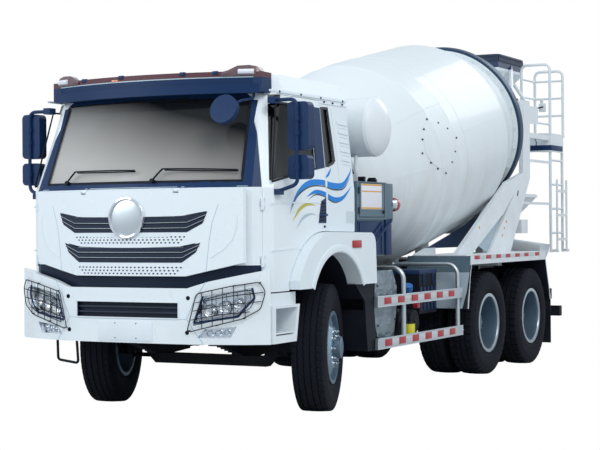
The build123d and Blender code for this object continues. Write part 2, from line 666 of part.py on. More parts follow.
def grille_lid():
    """The front panel that lifts: a bowed plate with two slatted intakes and the bare emblem disc."""
    plate = bowed_band(LID_HALF, LID_MIDDLE, LID_CORNER, LID_T, (LID_Z[0], LID_Z[1]))
    low, high = LID_Z[0] + 3, LID_Z[0] + 113
    plate -= front_plate([(-520, 0), (520, 0), (520, low), (-520, low)], (-1500, -900))
    side = front_plate([(519, 0), (LID_HALF + 20, 0), (LID_HALF + 20, high), (519, low)], (-1500, -900))
    plate -= both(side)
    upper_hole, lower_hole = intake(UPPER_INTAKE), intake(LOWER_INTAKE)
    plate = plate - upper_hole - lower_hole
    for hole, heights in ((upper_hole, UPPER_SLATS), (lower_hole, LOWER_SLATS)):
        for z in heights:
            slat = bowed_band(LID_HALF - 60, LID_MIDDLE + 12, bow_at(LID_HALF - 60) + 12, LID_T - 14, (z, z + SLAT_H))
            plate += slat & hole
    plate += rod((0, LID_MIDDLE - 6, EMBLEM_Z), (0, LID_MIDDLE + LID_T, EMBLEM_Z), EMBLEM_R)
    y, z = LID_HINGE
    plate -= both(box((LID_HINGE_X - 26, LID_HINGE_X + 26), (-1500, -1000), (z - 22, z + 22)))
    return plate + both(rod((LID_HINGE_X - 60, y, z), (LID_HINGE_X + 60, y, z), HINGE_PIN_R))


def bumper():
    """A moulded centre with its air intake, and two ends with the lamp recesses."""
    z0, z1 = BUMPER_Z
    outline = [(-BUMPER_HALF, BUMPER_BACK), (-BUMPER_HALF, -1105), (-1000, -1205), (-610, -FRONT_OVERHANG + 14),
               (-300, -FRONT_OVERHANG), (300, -FRONT_OVERHANG), (610, -FRONT_OVERHANG + 14), (1000, -1205),
               (BUMPER_HALF, -1105), (BUMPER_HALF, BUMPER_BACK)]
    inner = [(x * 0.955, y + (BUMPER_T if y < BUMPER_BACK else -1)) for x, y in outline]
    outer_face = make_face(Polyline(*[(x, y, z0) for x, y in outline], close=True))
    inner_face = make_face(Polyline(*[(x, y, z0 - 1) for x, y in inner[1:-1]] + [(inner[-1][0], 0, z0 - 1),
                                      (inner[0][0], 0, z0 - 1)], close=True))
    shell = extrude(outer_face, z1 - z0, dir=(0, 0, 1))
    shell -= extrude(inner_face, z1 - z0 + 2, dir=(0, 0, 1))
    top = front_plate([(-560, BUMPER_MIDDLE_Z), (560, BUMPER_MIDDLE_Z), (740, BUMPER_MIDDLE_Z + 55),
                       (BUMPER_HALF + 20, z1), (BUMPER_HALF + 20, z1 + 60), (-BUMPER_HALF - 20, z1 + 60),
                       (-BUMPER_HALF - 20, z1), (-740, BUMPER_MIDDLE_Z + 55)], (-1400, -700))
    shell -= top
    shell -= box((-480, 480), (-1400, -1100), INTAKE_Z)
    for z in (INTAKE_Z[0] + 34, INTAKE_Z[0] + 76):
        shell += box((-482, 482), (-FRONT_OVERHANG + 24, -FRONT_OVERHANG + 40), (z, z + 12))
    shell -= both(lamp_block(HEADLAMP, 0) + lamp_block(FOG_LAMP, 0))
    for x, z in ((570.0, 1010.0), (560.0, 740.0)):
        shell -= both(rod((x, -1400, z), (x, -1200, z), 16))
    shell += both(box((RAIL_OUT - 70, RAIL_OUT), (-FRONT_OVERHANG + 44, RAIL_Y[0] - SEAT), (RAIL_Z[0] + 2, 845)))
    return shell


def lamp_block(points, inset):
    """A lamp's body from its front outline of (x, z), reaching through the bumper."""
    small = side_window(points, inset)
    return front_plate(small, (-1400, -1120))


def headlamps():
    """Lenses with the bumper's slope, and the fog lamps under them."""
    z0, z1 = BUMPER_Z
    slope = [(500, -FRONT_OVERHANG + 30), (610, -FRONT_OVERHANG + 22), (1000, -1197), (1100, -1140), (1100, -1060),
             (980, -1130), (600, -1260), (500, -1262)]
    body = extrude(make_face(Polyline(*[(x, y, z0) for x, y in slope], close=True)), z1 - z0, dir=(0, 0, 1))
    lamp = (lamp_block(HEADLAMP, SEAT) & body) + (lamp_block(FOG_LAMP, SEAT) & body)
    return both(lamp)


def cab_glass():
    """Windscreen, rear quarter panes and the rear pane, each just inside its opening."""
    outer = cab_solid(14, CAB_SKIRT_Z, ROOF_Z[1])
    inner = cab_solid(14 + GLASS_T, CAB_SKIRT_Z - 10, ROOF_Z[1] - CAB_T)
    skin = outer - inner
    screen = skin & windscreen_cut(SEAT, (-1500, -600))
    quarter = skin & side_plate(side_window(REAR_WINDOW, SEAT), (900, 1300))
    rear = skin & front_plate([(-620 + SEAT, 2120 + SEAT), (620 - SEAT, 2120 + SEAT), (620 - SEAT, 2520 - SEAT),
                               (-620 + SEAT, 2520 - SEAT)], (300, 1000))
    return screen + both(quarter) + rear


def door_glass():
    outer = cab_solid(14, CAB_SKIRT_Z, ROOF_Z[1])
    inner = cab_solid(14 + GLASS_T, CAB_SKIRT_Z - 10, ROOF_Z[1] - CAB_T)
    return (outer - inner) & side_plate(side_window(DOOR_WINDOW, SEAT), (900, 1300))


def cab_floor():
    """The floor plate between the walls, over the engine and the wheels."""
    inside = cab_solid(CAB_T + SEAT, CAB_SKIRT_Z - 10, ROOF_Z[1] - CAB_T)
    floor = inside & box((-2000, 2000), (-2000, 2000), FLOOR_Z)
    floor -= both(box((CAB_HALF - CAB_T - GAP, 2000), (DOOR_Y[0] - 10, DOOR_Y[1] + 10), FLOOR_Z))
    sweep = rod((*HINGE_AT, FLOOR_Z[0]), (*HINGE_AT, FLOOR_Z[1]), DOOR_SWEEP_R)
    floor -= both(sweep)
    posts = both(box((RAIL_OUT - 70, RAIL_OUT - 10), (-820, -700), (RAIL_Z[1] + SEAT, FLOOR_Z[0])))
    posts += both(box((RAIL_OUT - 70, RAIL_OUT - 10), (300, 420), (RAIL_Z[1] + SEAT, FLOOR_Z[0])))
    return floor + posts


def seat(x):
    """Cushion, squab and headrest of one seat."""
    z = FLOOR_Z[1]
    base = box((x - 200, x + 200), (-420, 40), (z + SEAT, z + 240))
    cushion = box((x - 250, x + 250), (-480, 60), (z + 240, z + 370))
    squab = side_plate([(-10, z + 360), (110, z + 360), (250, z + 940), (160, z + 940)], (x - 240, x + 240))
    head = side_plate([(150, z + 940), (230, z + 940), (250, z + 1080), (190, z + 1080)], (x - 130, x + 130))
    return base + cushion + squab + head


def cab_interior():
    """Dashboard, steering column and wheel, and two seats."""
    z = FLOOR_Z[1]
    dash = side_plate([(-1085, z + 120), (-860, z + 150), (-830, z + 330), (-900, z + 430), (-1085, z + 440)],
                      (-930, 930))
    dash += side_plate([(-1085, z + SEAT), (-900, z + SEAT), (-860, z + 150), (-1085, z + 150)], (-330, 330))
    dash = dash & cab_solid(CAB_T + SEAT, CAB_SKIRT_Z - 10, ROOF_Z[1] - CAB_T)
    column_x = 500.0
    centre = Vector(column_x, -640, z + 470)
    tilt = Vector(0, 0.42, 0.9)
    plane = Plane(origin=centre, z_dir=tilt)
    wheel = plane * Torus(225, 15)
    spokes = plane * Box(430, 36, 14) + plane * Box(36, 430, 14)
    column = rod((column_x, -860, z + 60), (column_x, -640, z + 470), 34)
    return dash + wheel + spokes + column + seat(500.0) + seat(-500.0)


def sun_visor():
    """The dark shade over the windscreen with the clearance lamps' housings and a front mirror."""
    z0, z1 = VISOR_Z
    lower = bowed_band(985, -1110, -905, 90, (z0, z0 + 75))
    upper = bowed_band(985, -1085, -880, 150, (z0 + 75, z1))
    ends = both(box((930, 1010), (-905, -740), (z0 + 10, z1 - 6)))
    shade = lower + upper + ends
    shade -= cab_solid(-SEAT, CAB_SKIRT_Z, ROOF_Z[1] + SEAT)
    return shade


def front_mirror():
    """The round mirror that hangs before the windscreen's corner from the visor."""
    centre = (830.0, -1180.0, 2480.0)
    head = Pos(*centre) * Rot(72, 0, 0) * Cylinder(118, 46)
    low = VISOR_Z[0]
    arm = bent_tube([(930, -890, low + 15), (930, -890, low - 40), (930, -1080, low - 70), (850, -1170, 2500)], 11, 30)
    return head + arm


def front_fenders():
    """The white arches over the front wheels, joined to the cab's sides."""
    band = arch_solid((FENDER_X[0], FENDER_X[1]), 0, ARCH_LOW_Z)
    band -= arch_opening((FENDER_X[0] - 1, FENDER_X[1] + 1), ARCH_RADIUS, ARCH_OPEN_TOP, ARCH_LOW_Z - 10)
    return both(band)


def mudguards():
    """Black liners inside the front arches with their rear guards, and flaps behind the rear wheels."""
    x = (LINER_X, FENDER_X[0] - SEAT)
    liner = arch_opening(x, ARCH_RADIUS + 4, ARCH_OPEN_TOP + 4, ARCH_LOW_Z)
    liner -= arch_opening((x[0] - 1, x[1] + 1), ARCH_RADIUS - 12, ARCH_OPEN_TOP - 12, ARCH_LOW_Z - 10)
    guard = side_plate([(440, ARCH_LOW_Z - SEAT), (ARCH_Y[1] - 10, ARCH_LOW_Z - SEAT), (ARCH_Y[1] + 60, 980), (880, 460),
                        (690, 460), (655, 700), (640, 900)], (LINER_X, 1180))
    guard -= side_plate([(560, ARCH_LOW_Z + 10), (720, ARCH_LOW_Z + 10), (850, 480), (715, 450), (690, 700)],
                        (LINER_X - 1, 1160))
    stay = box((RAIL_OUT + SEAT, LINER_X + 5), (ARCH_Y[1] - 20, ARCH_Y[1] + 20), (880, 930))
    flap_y = REAR_FENDER_Y[1] + 70
    flap = box((640, 1240), (flap_y - 8, flap_y), (190, 760))
    bar = box((RAIL_OUT + SEAT, 1240), (flap_y + SEAT, flap_y + 40), (700, RAIL_Z[0] + 40))
    return both(liner + guard + stay) + both(flap) + both(bar)


def steps():
    """The white entry steps behind the bumper's ends: a box open to the side with its tread."""
    z0, z1 = STEP_Z
    outline = [(STEP_Y[0], z0), (STEP_Y[1] - 60, z0), (STEP_Y[1], z1), (STEP_Y[0], z1)]
    shell = side_plate(outline, (STEP_X[0], STEP_X[1]))
    pocket = side_plate([(STEP_Y[0] + 40, z0 + 60), (STEP_Y[1] - 95, z0 + 60), (STEP_Y[1] - 40, z1 - 22),
                         (STEP_Y[0] + 40, z1 - 22)], (STEP_X[0] + 18, STEP_X[1] + 1))
    shell -= pocket
    shell += box((STEP_X[0] + 10, STEP_X[1] - 12), (STEP_Y[0] + 20, STEP_Y[1] - 90), (z0 + 70, z0 + 82))
    arm = box((RAIL_OUT + SEAT, STEP_X[0] + 5), (STEP_Y[0] + 120, STEP_Y[0] + 180), (z0 + 140, z0 + 200))
    apron = box((STEP_X[1] - 70, STEP_X[1] - 50), (STEP_Y[0], STEP_Y[1] + 20), (z1 - 1, CAB_SKIRT_Z - GAP - 4))
    return both(shell + arm + apron)


def mirror_set():
    """Two heads on one bent arm, hung outside the door."""
    x = MIRROR_X
    heads = Part()
    for z0, z1 in MIRROR_HEADS:
        heads += box((x - 92, x + 92), (MIRROR_Y - 55, MIRROR_Y + 45), (z0, z1))
    heads = fillet(heads.edges().filter_by(Axis.Y), 38)
    top, low = DOOR_TOP_Z - 55, 1835
    arm = bent_tube([(1075, MIRROR_Y - 60, top), (x, MIRROR_Y - 70, top), (x, MIRROR_Y - 70, low + 60),
                     (1140, MIRROR_Y - 130, low)], 15, 60)
    bracket = box((1060, 1125), (MIRROR_Y - 110, MIRROR_Y - 20), (top - 26, top + 26))
    foot = box((1110, 1190), (MIRROR_Y - 180, MIRROR_Y - 90), (low - 22, low + 22))
    whole = heads + arm + bracket + foot - cab_solid(-SEAT, CAB_SKIRT_Z, ROOF_Z[1])
    return whole - box((0, CAB_TOP_HALF - 20), (-2000, 2000), (0, 4000))


def fuel_tank():
    """A rounded tank on the truck's right, on two brackets and straps."""
    y0, y1 = TANK_Y
    tank = box((-1130, -620), (y0, y1), (560, 1080))
    tank = fillet(tank.edges().filter_by(Axis.Y), 90)
    for y in (y0 + 160, y1 - 160):
        tank += box((-622, -RAIL_OUT - SEAT), (y - 30, y + 30), (600, 1000))
    return tank


def side_boxes():
    """Battery box, two air tanks, the silencer's shield and their brackets on the truck's left."""
    battery = box((520, 1000), (2280, 2720), (700, 1120)) + box((RAIL_OUT + SEAT, 525), (2380, 2620), (800, 1000))
    tanks = Part()
    for y in AIR_TANKS_Y:
        tanks += rod((560, y, 640), (1050, y, 640), 115)
        tanks += box((RAIL_OUT + SEAT, 600), (y - 30, y + 30), (640, 900))
    shield = box((560, 1090), (960, 1390), (540, 1160))
    shield = fillet(shield.edges().filter_by(Axis.X), 120)
    shield += box((RAIL_OUT + SEAT, 565), (1080, 1270), (800, 1000))
    return battery + tanks + shield


def side_guards():
    """Two rails on bent posts along each side, with their reflector squares."""
    y0, y1 = GUARD_Y
    parts = Part()
    for z0, z1 in GUARD_RAILS:
        parts += box((GUARD_X - 26, GUARD_X), (y0, y1), (z0, z1))
    for y in GUARD_POSTS:
        post_x = GUARD_X - 46
        parts += bent_tube([(RAIL_OUT + 40, y, 1170), (post_x, y, 1170), (post_x, y, GUARD_RAILS[0][0])], 21, 110)
        parts += box((RAIL_OUT + SEAT, RAIL_OUT + 50), (y - 45, y + 45), (960, RAIL_Z[1] - 5))
        parts += box((RAIL_OUT + SILL_OUT + SEAT, RAIL_OUT + 50), (y - 45, y + 45), (RAIL_Z[1] - 10, 1200))
    return both(parts)


def mixer_subframe():
    """Two deep sills on the rails that carry the drum's stands."""
    low, high = RAIL_Z[1] + SEAT, SUBFRAME_Z
    sill = box((RAIL_OUT - 90, RAIL_OUT + SILL_OUT), (SUBFRAME_Y[0], SUBFRAME_Y[1]), (low, high))
    frame = both(sill)
    for y in (SUBFRAME_Y[0] + 60, 2400, 3400, 4500, 5300, SUBFRAME_Y[1] - 60):
        frame += box((-RAIL_OUT + 60, RAIL_OUT - 60), (y - 40, y + 40), (low + 20, high - 20))
    return frame


def front_pedestal():
    """The stand behind the cab with the drum's drive gearbox and its pump motor."""
    low = SUBFRAME_Z + SEAT
    top = drum_point(DRUM_FRONT_S - 330)[1] - 170
    y = drum_point(DRUM_FRONT_S - 330)[0]
    leg = front_plate([(300, low), (420, low), (300, top), (170, top)], (y - 130, y + 60))
    stand = both(leg) + box((-300, 300), (y - 130, y + 60), (top - 60, top))
    axis = drum_plane(DRUM_FRONT_S - 480)
    gearbox = extrude(axis * Circle(215), 250) + extrude(drum_plane(DRUM_FRONT_S - 230) * Circle(150), 230 - SEAT)
    motor = extrude(drum_plane(DRUM_FRONT_S - 640) * Circle(110), 170)
    saddle = box((-170, 170), (y - 110, y + 40), (top - 30, top + 120))
    return stand + gearbox + motor + saddle


def drum_point(s):
    """(y, z) of a place on the drum's axis, s behind the track ring."""
    return DRUM_RING_AT[0] + s * cos(radians(DRUM_TILT)), DRUM_RING_AT[1] + s * sin(radians(DRUM_TILT))


def drum_plane(s):
    y, z = drum_point(s)
    return Plane(origin=(0, y, z), x_dir=(1, 0, 0), z_dir=(0, cos(radians(DRUM_TILT)), sin(radians(DRUM_TILT))))


def drum_revolve(outline):
    """Turns an outline of (s, radius) about the drum's leaning axis."""
    face = make_face(Polyline(*[(p[1], 0, p[0]) for p in outline], close=True))
    return drum_plane(0).location * revolve(face, axis=Axis.Z)


def drum_front():
    """The drum's flange, dished head, front cone and barrel, up to the rear weld seam."""
    outer = DRUM_OUTER_FRONT
    inner = [(s + DRUM_T, r - DRUM_T) for s, r in outer[1:-1]] + [(outer[-1][0], outer[-1][1] - DRUM_T)]
    outline = [(outer[0][0], 0)] + outer + list(reversed(inner)) + [(inner[0][0], 0)]
    return drum_revolve(outline)


def drum_rear():
    """The rear cone from the weld seam through the ring's belt to the open mouth."""
    outer = DRUM_OUTER_REAR
    inner = [(s, r - DRUM_T) for s, r in outer]
    return drum_revolve(outer + list(reversed(inner)))


def drum_ring():
    """The track ring that runs on the rollers."""
    half = RING_W / 2
    inner = DRUM_BELT_R + SEAT
    return drum_revolve([(-half, inner), (-half, RING_R), (half, RING_R), (half, inner)])


def roller_at(side):
    """(x, offset below the axis) of a roller's centre in the ring's plane."""
    reach = RING_R + ROLLER_R + ROLLER_GAP
    return side * reach * sin(radians(ROLLER_ANGLE)), -reach * cos(radians(ROLLER_ANGLE))


def roller_centre(side):
    """A roller's centre in the model."""
    x, drop = roller_at(side)
    y, z = drum_point(0)
    return x, y - drop * sin(radians(DRUM_TILT)), z + drop * cos(radians(DRUM_TILT))


def roller(side):
    """A flanged support roller on its own axle."""
    x, drop = roller_at(side)
    half = RING_W / 2 + 8
    plane = drum_plane(0)
    profile = [(-half, ROLLER_PIN + RUNNING), (-half, ROLLER_R), (half, ROLLER_R), (half, ROLLER_PIN + RUNNING)]
    face = make_face(Polyline(*[(p[1], 0, p[0]) for p in profile], close=True))
    return plane.location * Pos(x, -drop, 0) * revolve(face, axis=Axis.Z)


def roller_carrier(side):
    """Axle and two cheeks that hold a roller on the rear stand."""
    x, drop = roller_at(side)
    plane = drum_plane(0)
    half = RING_W / 2 + 14
    axle = plane.location * Pos(x, -drop, 0) * Cylinder(ROLLER_PIN, 2 * half + 60)
    cheeks = Part()
    for s in (-half - 24, half):
        cheek = Pos(x, 70 - drop, s + 12) * Box(150, 260, 24)
        cheeks += plane.location * cheek
    base = plane.location * Pos(x, 185 - drop, 0) * Box(260, 50, 2 * half + 60)
    return axle + cheeks + base


def rear_stand():
    """Side plates that rise past the drum's rear, the beam under the rollers and their carriers."""
    parts = Part()
    rear_leg = [(REAR_LEG_Y[0], LEG_LOW), (REAR_LEG_Y[1], LEG_LOW), LEG_KNEE, (STAND_REAR_Y, STAND_TOP),
                (STAND_REAR_Y - 210, STAND_TOP), (STAND_REAR_Y - 260, 2160)]
    front_leg = [(FRONT_LEG_Y[0], LEG_LOW), (FRONT_LEG_Y[1], LEG_LOW), (STAND_REAR_Y - 920, 1700),
                 (STAND_REAR_Y - 230, 2130), (STAND_REAR_Y - 270, 2170), (STAND_REAR_Y - 810, 2050)]
    plates = side_plate(rear_leg, STAND_X) + side_plate(front_leg, STAND_X)
    parts += both(plates)
    y, z = drum_point(0)
    drop = roller_at(1)[1]
    beam_y = y - drop * sin(radians(DRUM_TILT)) + 60
    beam_top = z + drop * cos(radians(DRUM_TILT)) - 200
    parts += box((-STAND_X[1], STAND_X[1]), (beam_y - 110, beam_y + 110), (beam_top - 160, beam_top))
    parts += both(box((RAIL_OUT - 80, RAIL_OUT + 10), (beam_y - 110, beam_y + 110), (SUBFRAME_Z + SEAT, beam_top - 100)))
    parts += roller_carrier(1) + roller_carrier(-1)
    for leg_y in (FRONT_LEG_Y[0] + 230, REAR_LEG_Y[0] + 350):
        parts += both(box((RAIL_OUT - 80, STAND_X[1]), (leg_y - 60, leg_y + 60), (SUBFRAME_Z + SEAT, LEG_LOW + 1)))
    cross = box((-STAND_X[1], STAND_X[1]), (STAND_REAR_Y - 180, STAND_REAR_Y - 20), (STAND_TOP - 130, STAND_TOP))
    parts += cross - drum_revolve([(-900, 0), (-900, 1120), (0, 1000), (900, 560), (900, 0)])
    return parts


def water_tank():
    """The cross-lying water tank with domed ends, on its two saddles behind the cab."""
    y, z = WATER_AT
    body = rod((-WATER_HALF + 70, y, z), (WATER_HALF - 70, y, z), WATER_R)
    ends = about_x([(0, 0), (0, WATER_R), (30, WATER_R - 8), (55, WATER_R - 50), (70, 90), (70, 0)], WATER_HALF - 70, y, z)
    tank = body + ends + mirrored(ends)
    legs = box((330, 410), (y - 190, y - 60), (SUBFRAME_Z + SEAT, z - 150))
    saddle = box((300, 440), (y - 190, y + 120), (z - WATER_R - 30, z - 120))
    return tank + both(legs + saddle)


def control_cabinet():
    """The grey pump and control box over its dark stand, left behind the cab, with the water valve."""
    upper = box((470, CABINET_X), CABINET_Y, (1620, 1960))
    lower = box((500, CABINET_X - 20), (CABINET_Y[0] + 30, CABINET_Y[1] - 20), (1290, 1620))
    arm = box((RAIL_OUT + SILL_OUT + SEAT, CABINET_X - 180), (CABINET_Y[0] + 40, CABINET_Y[0] + 230), (ARCH_LOW_Z + 12, 1130))
    arm += box((CABINET_X - 380, CABINET_X - 180), (CABINET_Y[0] + 40, CABINET_Y[0] + 230), (1129, 1292))
    valve = rod((CABINET_X - 60, CABINET_Y[1] - 4, 1760), (CABINET_X - 60, CABINET_Y[1] + 120, 1760), 48)
    cap = rod((CABINET_X - 60, CABINET_Y[1] + 118, 1760), (CABINET_X - 60, CABINET_Y[1] + 165, 1760), 62)
    return upper + lower + arm + valve + cap


def rear_fenders():
    """Deck plates over the twin wheels with their sloped front and rear panels."""
    y0, y1 = REAR_FENDER_Y
    outline = [(y0, 720), (y0 + 130, FENDER_TOP - 90), (y0 + 130, FENDER_TOP), (y1 - 160, FENDER_TOP), (y1, 760),
               (y1 - 16, 760), (y1 - 175, FENDER_TOP - 20), (y0 + 146, FENDER_TOP - 20), (y0 + 146, FENDER_TOP - 90),
               (y0 + 16, 720)]
    deck = side_plate(outline, (610, BODY_WIDTH / 2))
    lip = box((BODY_WIDTH / 2 - 10, BODY_WIDTH / 2), (y0 + 130, y1 - 160), (FENDER_TOP - 95, FENDER_TOP))
    arms = Part()
    sill = RAIL_OUT + SILL_OUT + SEAT
    for y in (y0 + 250, BOGIE_Y + 260, y1 - 230):
        arms += box((sill, 640), (y - 30, y + 30), (FENDER_TOP - 140, FENDER_TOP - 70))
        arms += box((611, 640), (y - 30, y + 30), (FENDER_TOP - 80, FENDER_TOP - 19))
        arms += box((RAIL_OUT + SEAT, sill + 30), (y - 30, y + 30), (880, RAIL_Z[1] - 5))
        arms += box((sill, sill + 30), (y - 30, y + 30), (RAIL_Z[1] - 10, FENDER_TOP - 100))
    slots = box((STAND_X[0] - 2, STAND_X[1] + 2), (FRONT_LEG_Y[0] - 3, FRONT_LEG_Y[1] + 60), (FENDER_TOP - 30, FENDER_TOP + 5))
    slots += box((STAND_X[0] - 2, STAND_X[1] + 2), (REAR_LEG_Y[0] - 3, REAR_LEG_Y[1] + 20), (FENDER_TOP - 30, FENDER_TOP + 5))
    return both(deck + lip + arms - slots)


def underrun_bar():
    """The rear bar on two hangers, with the lamp plate."""
    y = RAIL_Y[1]
    bar = box((-1150, 1150), (y + 60, y + 150), (466, 586))
    hanger = side_plate([(y - 160, RAIL_Z[0] + 40), (y + 8, RAIL_Z[0] + 100), (y + 100, 580), (y + 62, 500)],
                        (RAIL_OUT + SEAT, RAIL_OUT + 24))
    return bar + both(hanger)


def hopper_leg():
    """The strut from the stand's cross beam up to the hopper's side."""
    foot_y = STAND_REAR_Y - 90
    leg = rod((HOPPER_HALF - 8, foot_y + 720, HOPPER_Z - 120), (HOPPER_HALF + 260, foot_y, STAND_TOP - 30), 26)
    leg -= box((0, 2000), (foot_y - 400, foot_y + 220), (2000, STAND_TOP + SEAT))
    return leg - box((0, HOPPER_HALF - 5), (foot_y + 220, foot_y + 1200), (2000, 4000))


def hopper():
    """The loading hopper over the drum's mouth: a square funnel with its rubber lip."""
    y = STAND_REAR_Y
    low = [(-170, y + 250), (170, y + 250), (170, y + 530), (-170, y + 530)]
    high = [(-HOPPER_HALF, y + 170), (HOPPER_HALF, y + 170), (HOPPER_HALF, y + 1050), (-HOPPER_HALF, y + 1050)]
    def section(points, z, inset):
        cx = sum(p[0] for p in points) / 4
        cy = sum(p[1] for p in points) / 4
        moved = [(p[0] + (inset if p[0] < cx else -inset), p[1] + (inset if p[1] < cy else -inset), z) for p in points]
        return make_face(Polyline(*moved, close=True))
    outer = loft([section(low, 2960, 0), section(high, HOPPER_Z - 190, 0)], ruled=True)
    outer += extrude(section(high, HOPPER_Z - 190, 0), 190, dir=(0, 0, 1))
    inner = loft([section(low, 2959, 10), section(high, HOPPER_Z - 190, 10)], ruled=True)
    inner += extrude(section(high, HOPPER_Z - 190, 10), 200, dir=(0, 0, 1))
    return outer - inner + both(hopper_leg())


def discharge_funnel():
    """Two sloped cheeks under the mouth that lead the concrete to the chute."""
    z0, z1 = FUNNEL_Z
    y = CHUTE_PIVOT[1]
    low = [(-190, y - 180), (190, y - 180), (190, y + 160), (-190, y + 160)]
    high = [(-600, y - 560), (600, y - 560), (600, y + 320), (-600, y + 320)]
    def section(points, z, inset):
        cx = sum(p[0] for p in points) / 4
        cy = sum(p[1] for p in points) / 4
        moved = [(p[0] + (inset if p[0] < cx else -inset), p[1] + (inset if p[1] < cy else -inset), z) for p in points]
        return make_face(Polyline(*moved, close=True))
    outer = loft([section(low, z0, 0), section(high, z1, 0)], ruled=True)
    inner = loft([section(low, z0 - 1, 10), section(high, z1 + 1, 10)], ruled=True)
    arm_x = STAND_X[0] - SEAT
    arm = box((arm_x - 50, arm_x), (STAND_REAR_Y - 310, y - 500), (z1 - 40, z1))
    arm += box((592, arm_x), (y - 550, y - 500), (z1 - 40, z1))
    return outer - inner + both(arm)


def platform_ladder():
    """The inspection platform with its guard hoops, and the upper ladder fixed to the rear stand."""
    x0, x1 = PLATFORM_X
    y0, y1 = PLATFORM_Y
    z = PLATFORM_Z
    parts = box((x0, x1), (y0, y1), (z - 30, z))
    parts += box((x0 + 40, x1 - 40), (y0 + 30, y1 - 20), (z - 150, z - 29))
    for y, top in ((y0 + RAIL_R, PLATFORM_TOP), (y1 - RAIL_R, PLATFORM_TOP - 40)):
        hoop = [(x0 + RAIL_R, y, z - 1), (x0 + RAIL_R, y, top), (x1 - RAIL_R, y, top), (x1 - RAIL_R, y, z - 1)]
        parts += bent_tube(hoop, RAIL_R, 70)
    for height in RAIL_HEIGHTS:
        parts += rod((x0 + RAIL_R, y1 - RAIL_R, z + height), (x1 - RAIL_R, y1 - RAIL_R, z + height), RAIL_R - 4)
        parts += rod((x0 + RAIL_R, y0 + RAIL_R, z + height), (x0 + RAIL_R, y1 - RAIL_R, z + height), RAIL_R - 4)
    ladder_y = (y0 + 30, y1 - 50)
    for y in ladder_y:
        parts += rod((x1 - 22, y, LADDER_LOW), (x1 - 22, y, z - 29), RAIL_R)
    for step in range(LADDER_RUNGS):
        height = z - 330 - step * LADDER_PITCH
        parts += rod((x1 - 22, ladder_y[0], height), (x1 - 22, ladder_y[1], height), 13)
    for height in BRACE_Z:
        end = leg_rear_y(height + 15)
        parts += box((x1 - 40, x1 - 22), (end + SEAT, ladder_y[0]), (height - 15, height + 15))
    for y, inward in ((ladder_y[0], 1), (ladder_y[1], -1)):
        hinge = (x1 + FOLD_OUT, LADDER_LOW + 20)
        parts += box((x1 - 12, hinge[0] + 18), (y - 8, y + 8), (hinge[1] - 16, hinge[1] + 16))
        parts += rod((hinge[0], y, hinge[1]), (hinge[0], y + inward * 68, hinge[1]), LADDER_PIN_R)
    parts += box((x1 - 80, x1 - 20), (STAND_REAR_Y + SEAT, y0 + 1), (z - 90, z - 30))
    beam_y = STAND_REAR_Y + 340
    parts += box((x0, x0 + 60), (beam_y, y0 + 1), (z - 90, z - 30))
    parts += box((x0, x1 - 30), (beam_y, beam_y + 60), (z - 90, z - 30))
    return parts


def lower_ladder():
    """The ladder's folding section: it is hinged low on the upper rails and stands folded up outside them."""
    y0, y1 = PLATFORM_Y[0] + 30, PLATFORM_Y[1] - 50
    x = PLATFORM_X[1] + FOLD_OUT
    low, high = LADDER_LOW + 20, LADDER_LOW + FOLD_LENGTH
    parts = Part()
    for y in (y0 + 46, y1 - 46):
        parts += box((x - 8, x + 8), (y - 18, y + 18), (low, high))
        parts += rod((x, y - 18, low), (x, y + 18, low), LADDER_PIN_R + 9)
        parts -= rod((x, y - 19, low), (x, y + 19, low), LADDER_PIN_R + RUNNING)
    for step in range(3):
        z = low + 140 + step * LADDER_PITCH
        parts += box((x - 8, x + 8), (y0 + 60, y1 - 60), (z - 16, z + 16))
    return parts


def leg_rear_y(z):
    """Where the rear stand's leg ends towards the rear, at a height."""
    if z >= LEG_KNEE[1]:
        return LEG_KNEE[0]
    slope = (LEG_KNEE[0] - REAR_LEG_Y[1]) / (LEG_KNEE[1] - LEG_LOW)
    return REAR_LEG_Y[1] + (z - LEG_LOW) * slope


def chute_bracket():
    """Two arms that meet behind the frame's end at the bearing in which the chute's post turns."""
    x, y = CHUTE_PIVOT
    z0, z1 = CHUTE_BEARING_Z
    start = CROSS_Y[-1]
    outline = [(RAIL_OUT - 70, start), (RAIL_OUT - RAIL_WEB, start), (x + 70, y + 20), (x - 1, y + 20), (x - 1, y - 70)]
    arm = extrude(make_face(Polyline(*[(px, py, z0 + 10) for px, py in outline], close=True)), z1 - z0 - 20, dir=(0, 0, 1))
    bearing = rod((x, y, z0), (x, y, z1), CHUTE_PIN_R + 34)
    return both(arm) + bearing - rod((x, y, z0 - 1), (x, y, z1 + 1), CHUTE_PIN_R + RUNNING)


def chute_post():
    """The swivelling post: its pin in the bearing, a base and two lugs for the chute's hinge."""
    x, y = CHUTE_PIVOT
    z0, z1 = CHUTE_BEARING_Z
    lug_y = (CHUTE_R + 8, CHUTE_R + 32)
    body = rod((x, y, z0 - 8), (x, y, z1 + 2), CHUTE_PIN_R)
    body += box((x - 60, x + 60), (y - lug_y[1], y + lug_y[1]), (z1 + 1, z1 + 42))
    for low, high in (lug_y, (-lug_y[1], -lug_y[0])):
        body += box((x + CHUTE_HINGE_X - 36, x + 60), (y + low, y + high), (z1 + 1, z1 + 120))
        body += box((x + CHUTE_HINGE_X - 36, x + CHUTE_HINGE_X + 36), (y + low, y + high), (z1 + 110, CHUTE_HINGE_Z + 40))
    hole = x + CHUTE_HINGE_X
    return body - rod((hole, y - 400, CHUTE_HINGE_Z), (hole, y + 400, CHUTE_HINGE_Z), 16 + RUNNING)


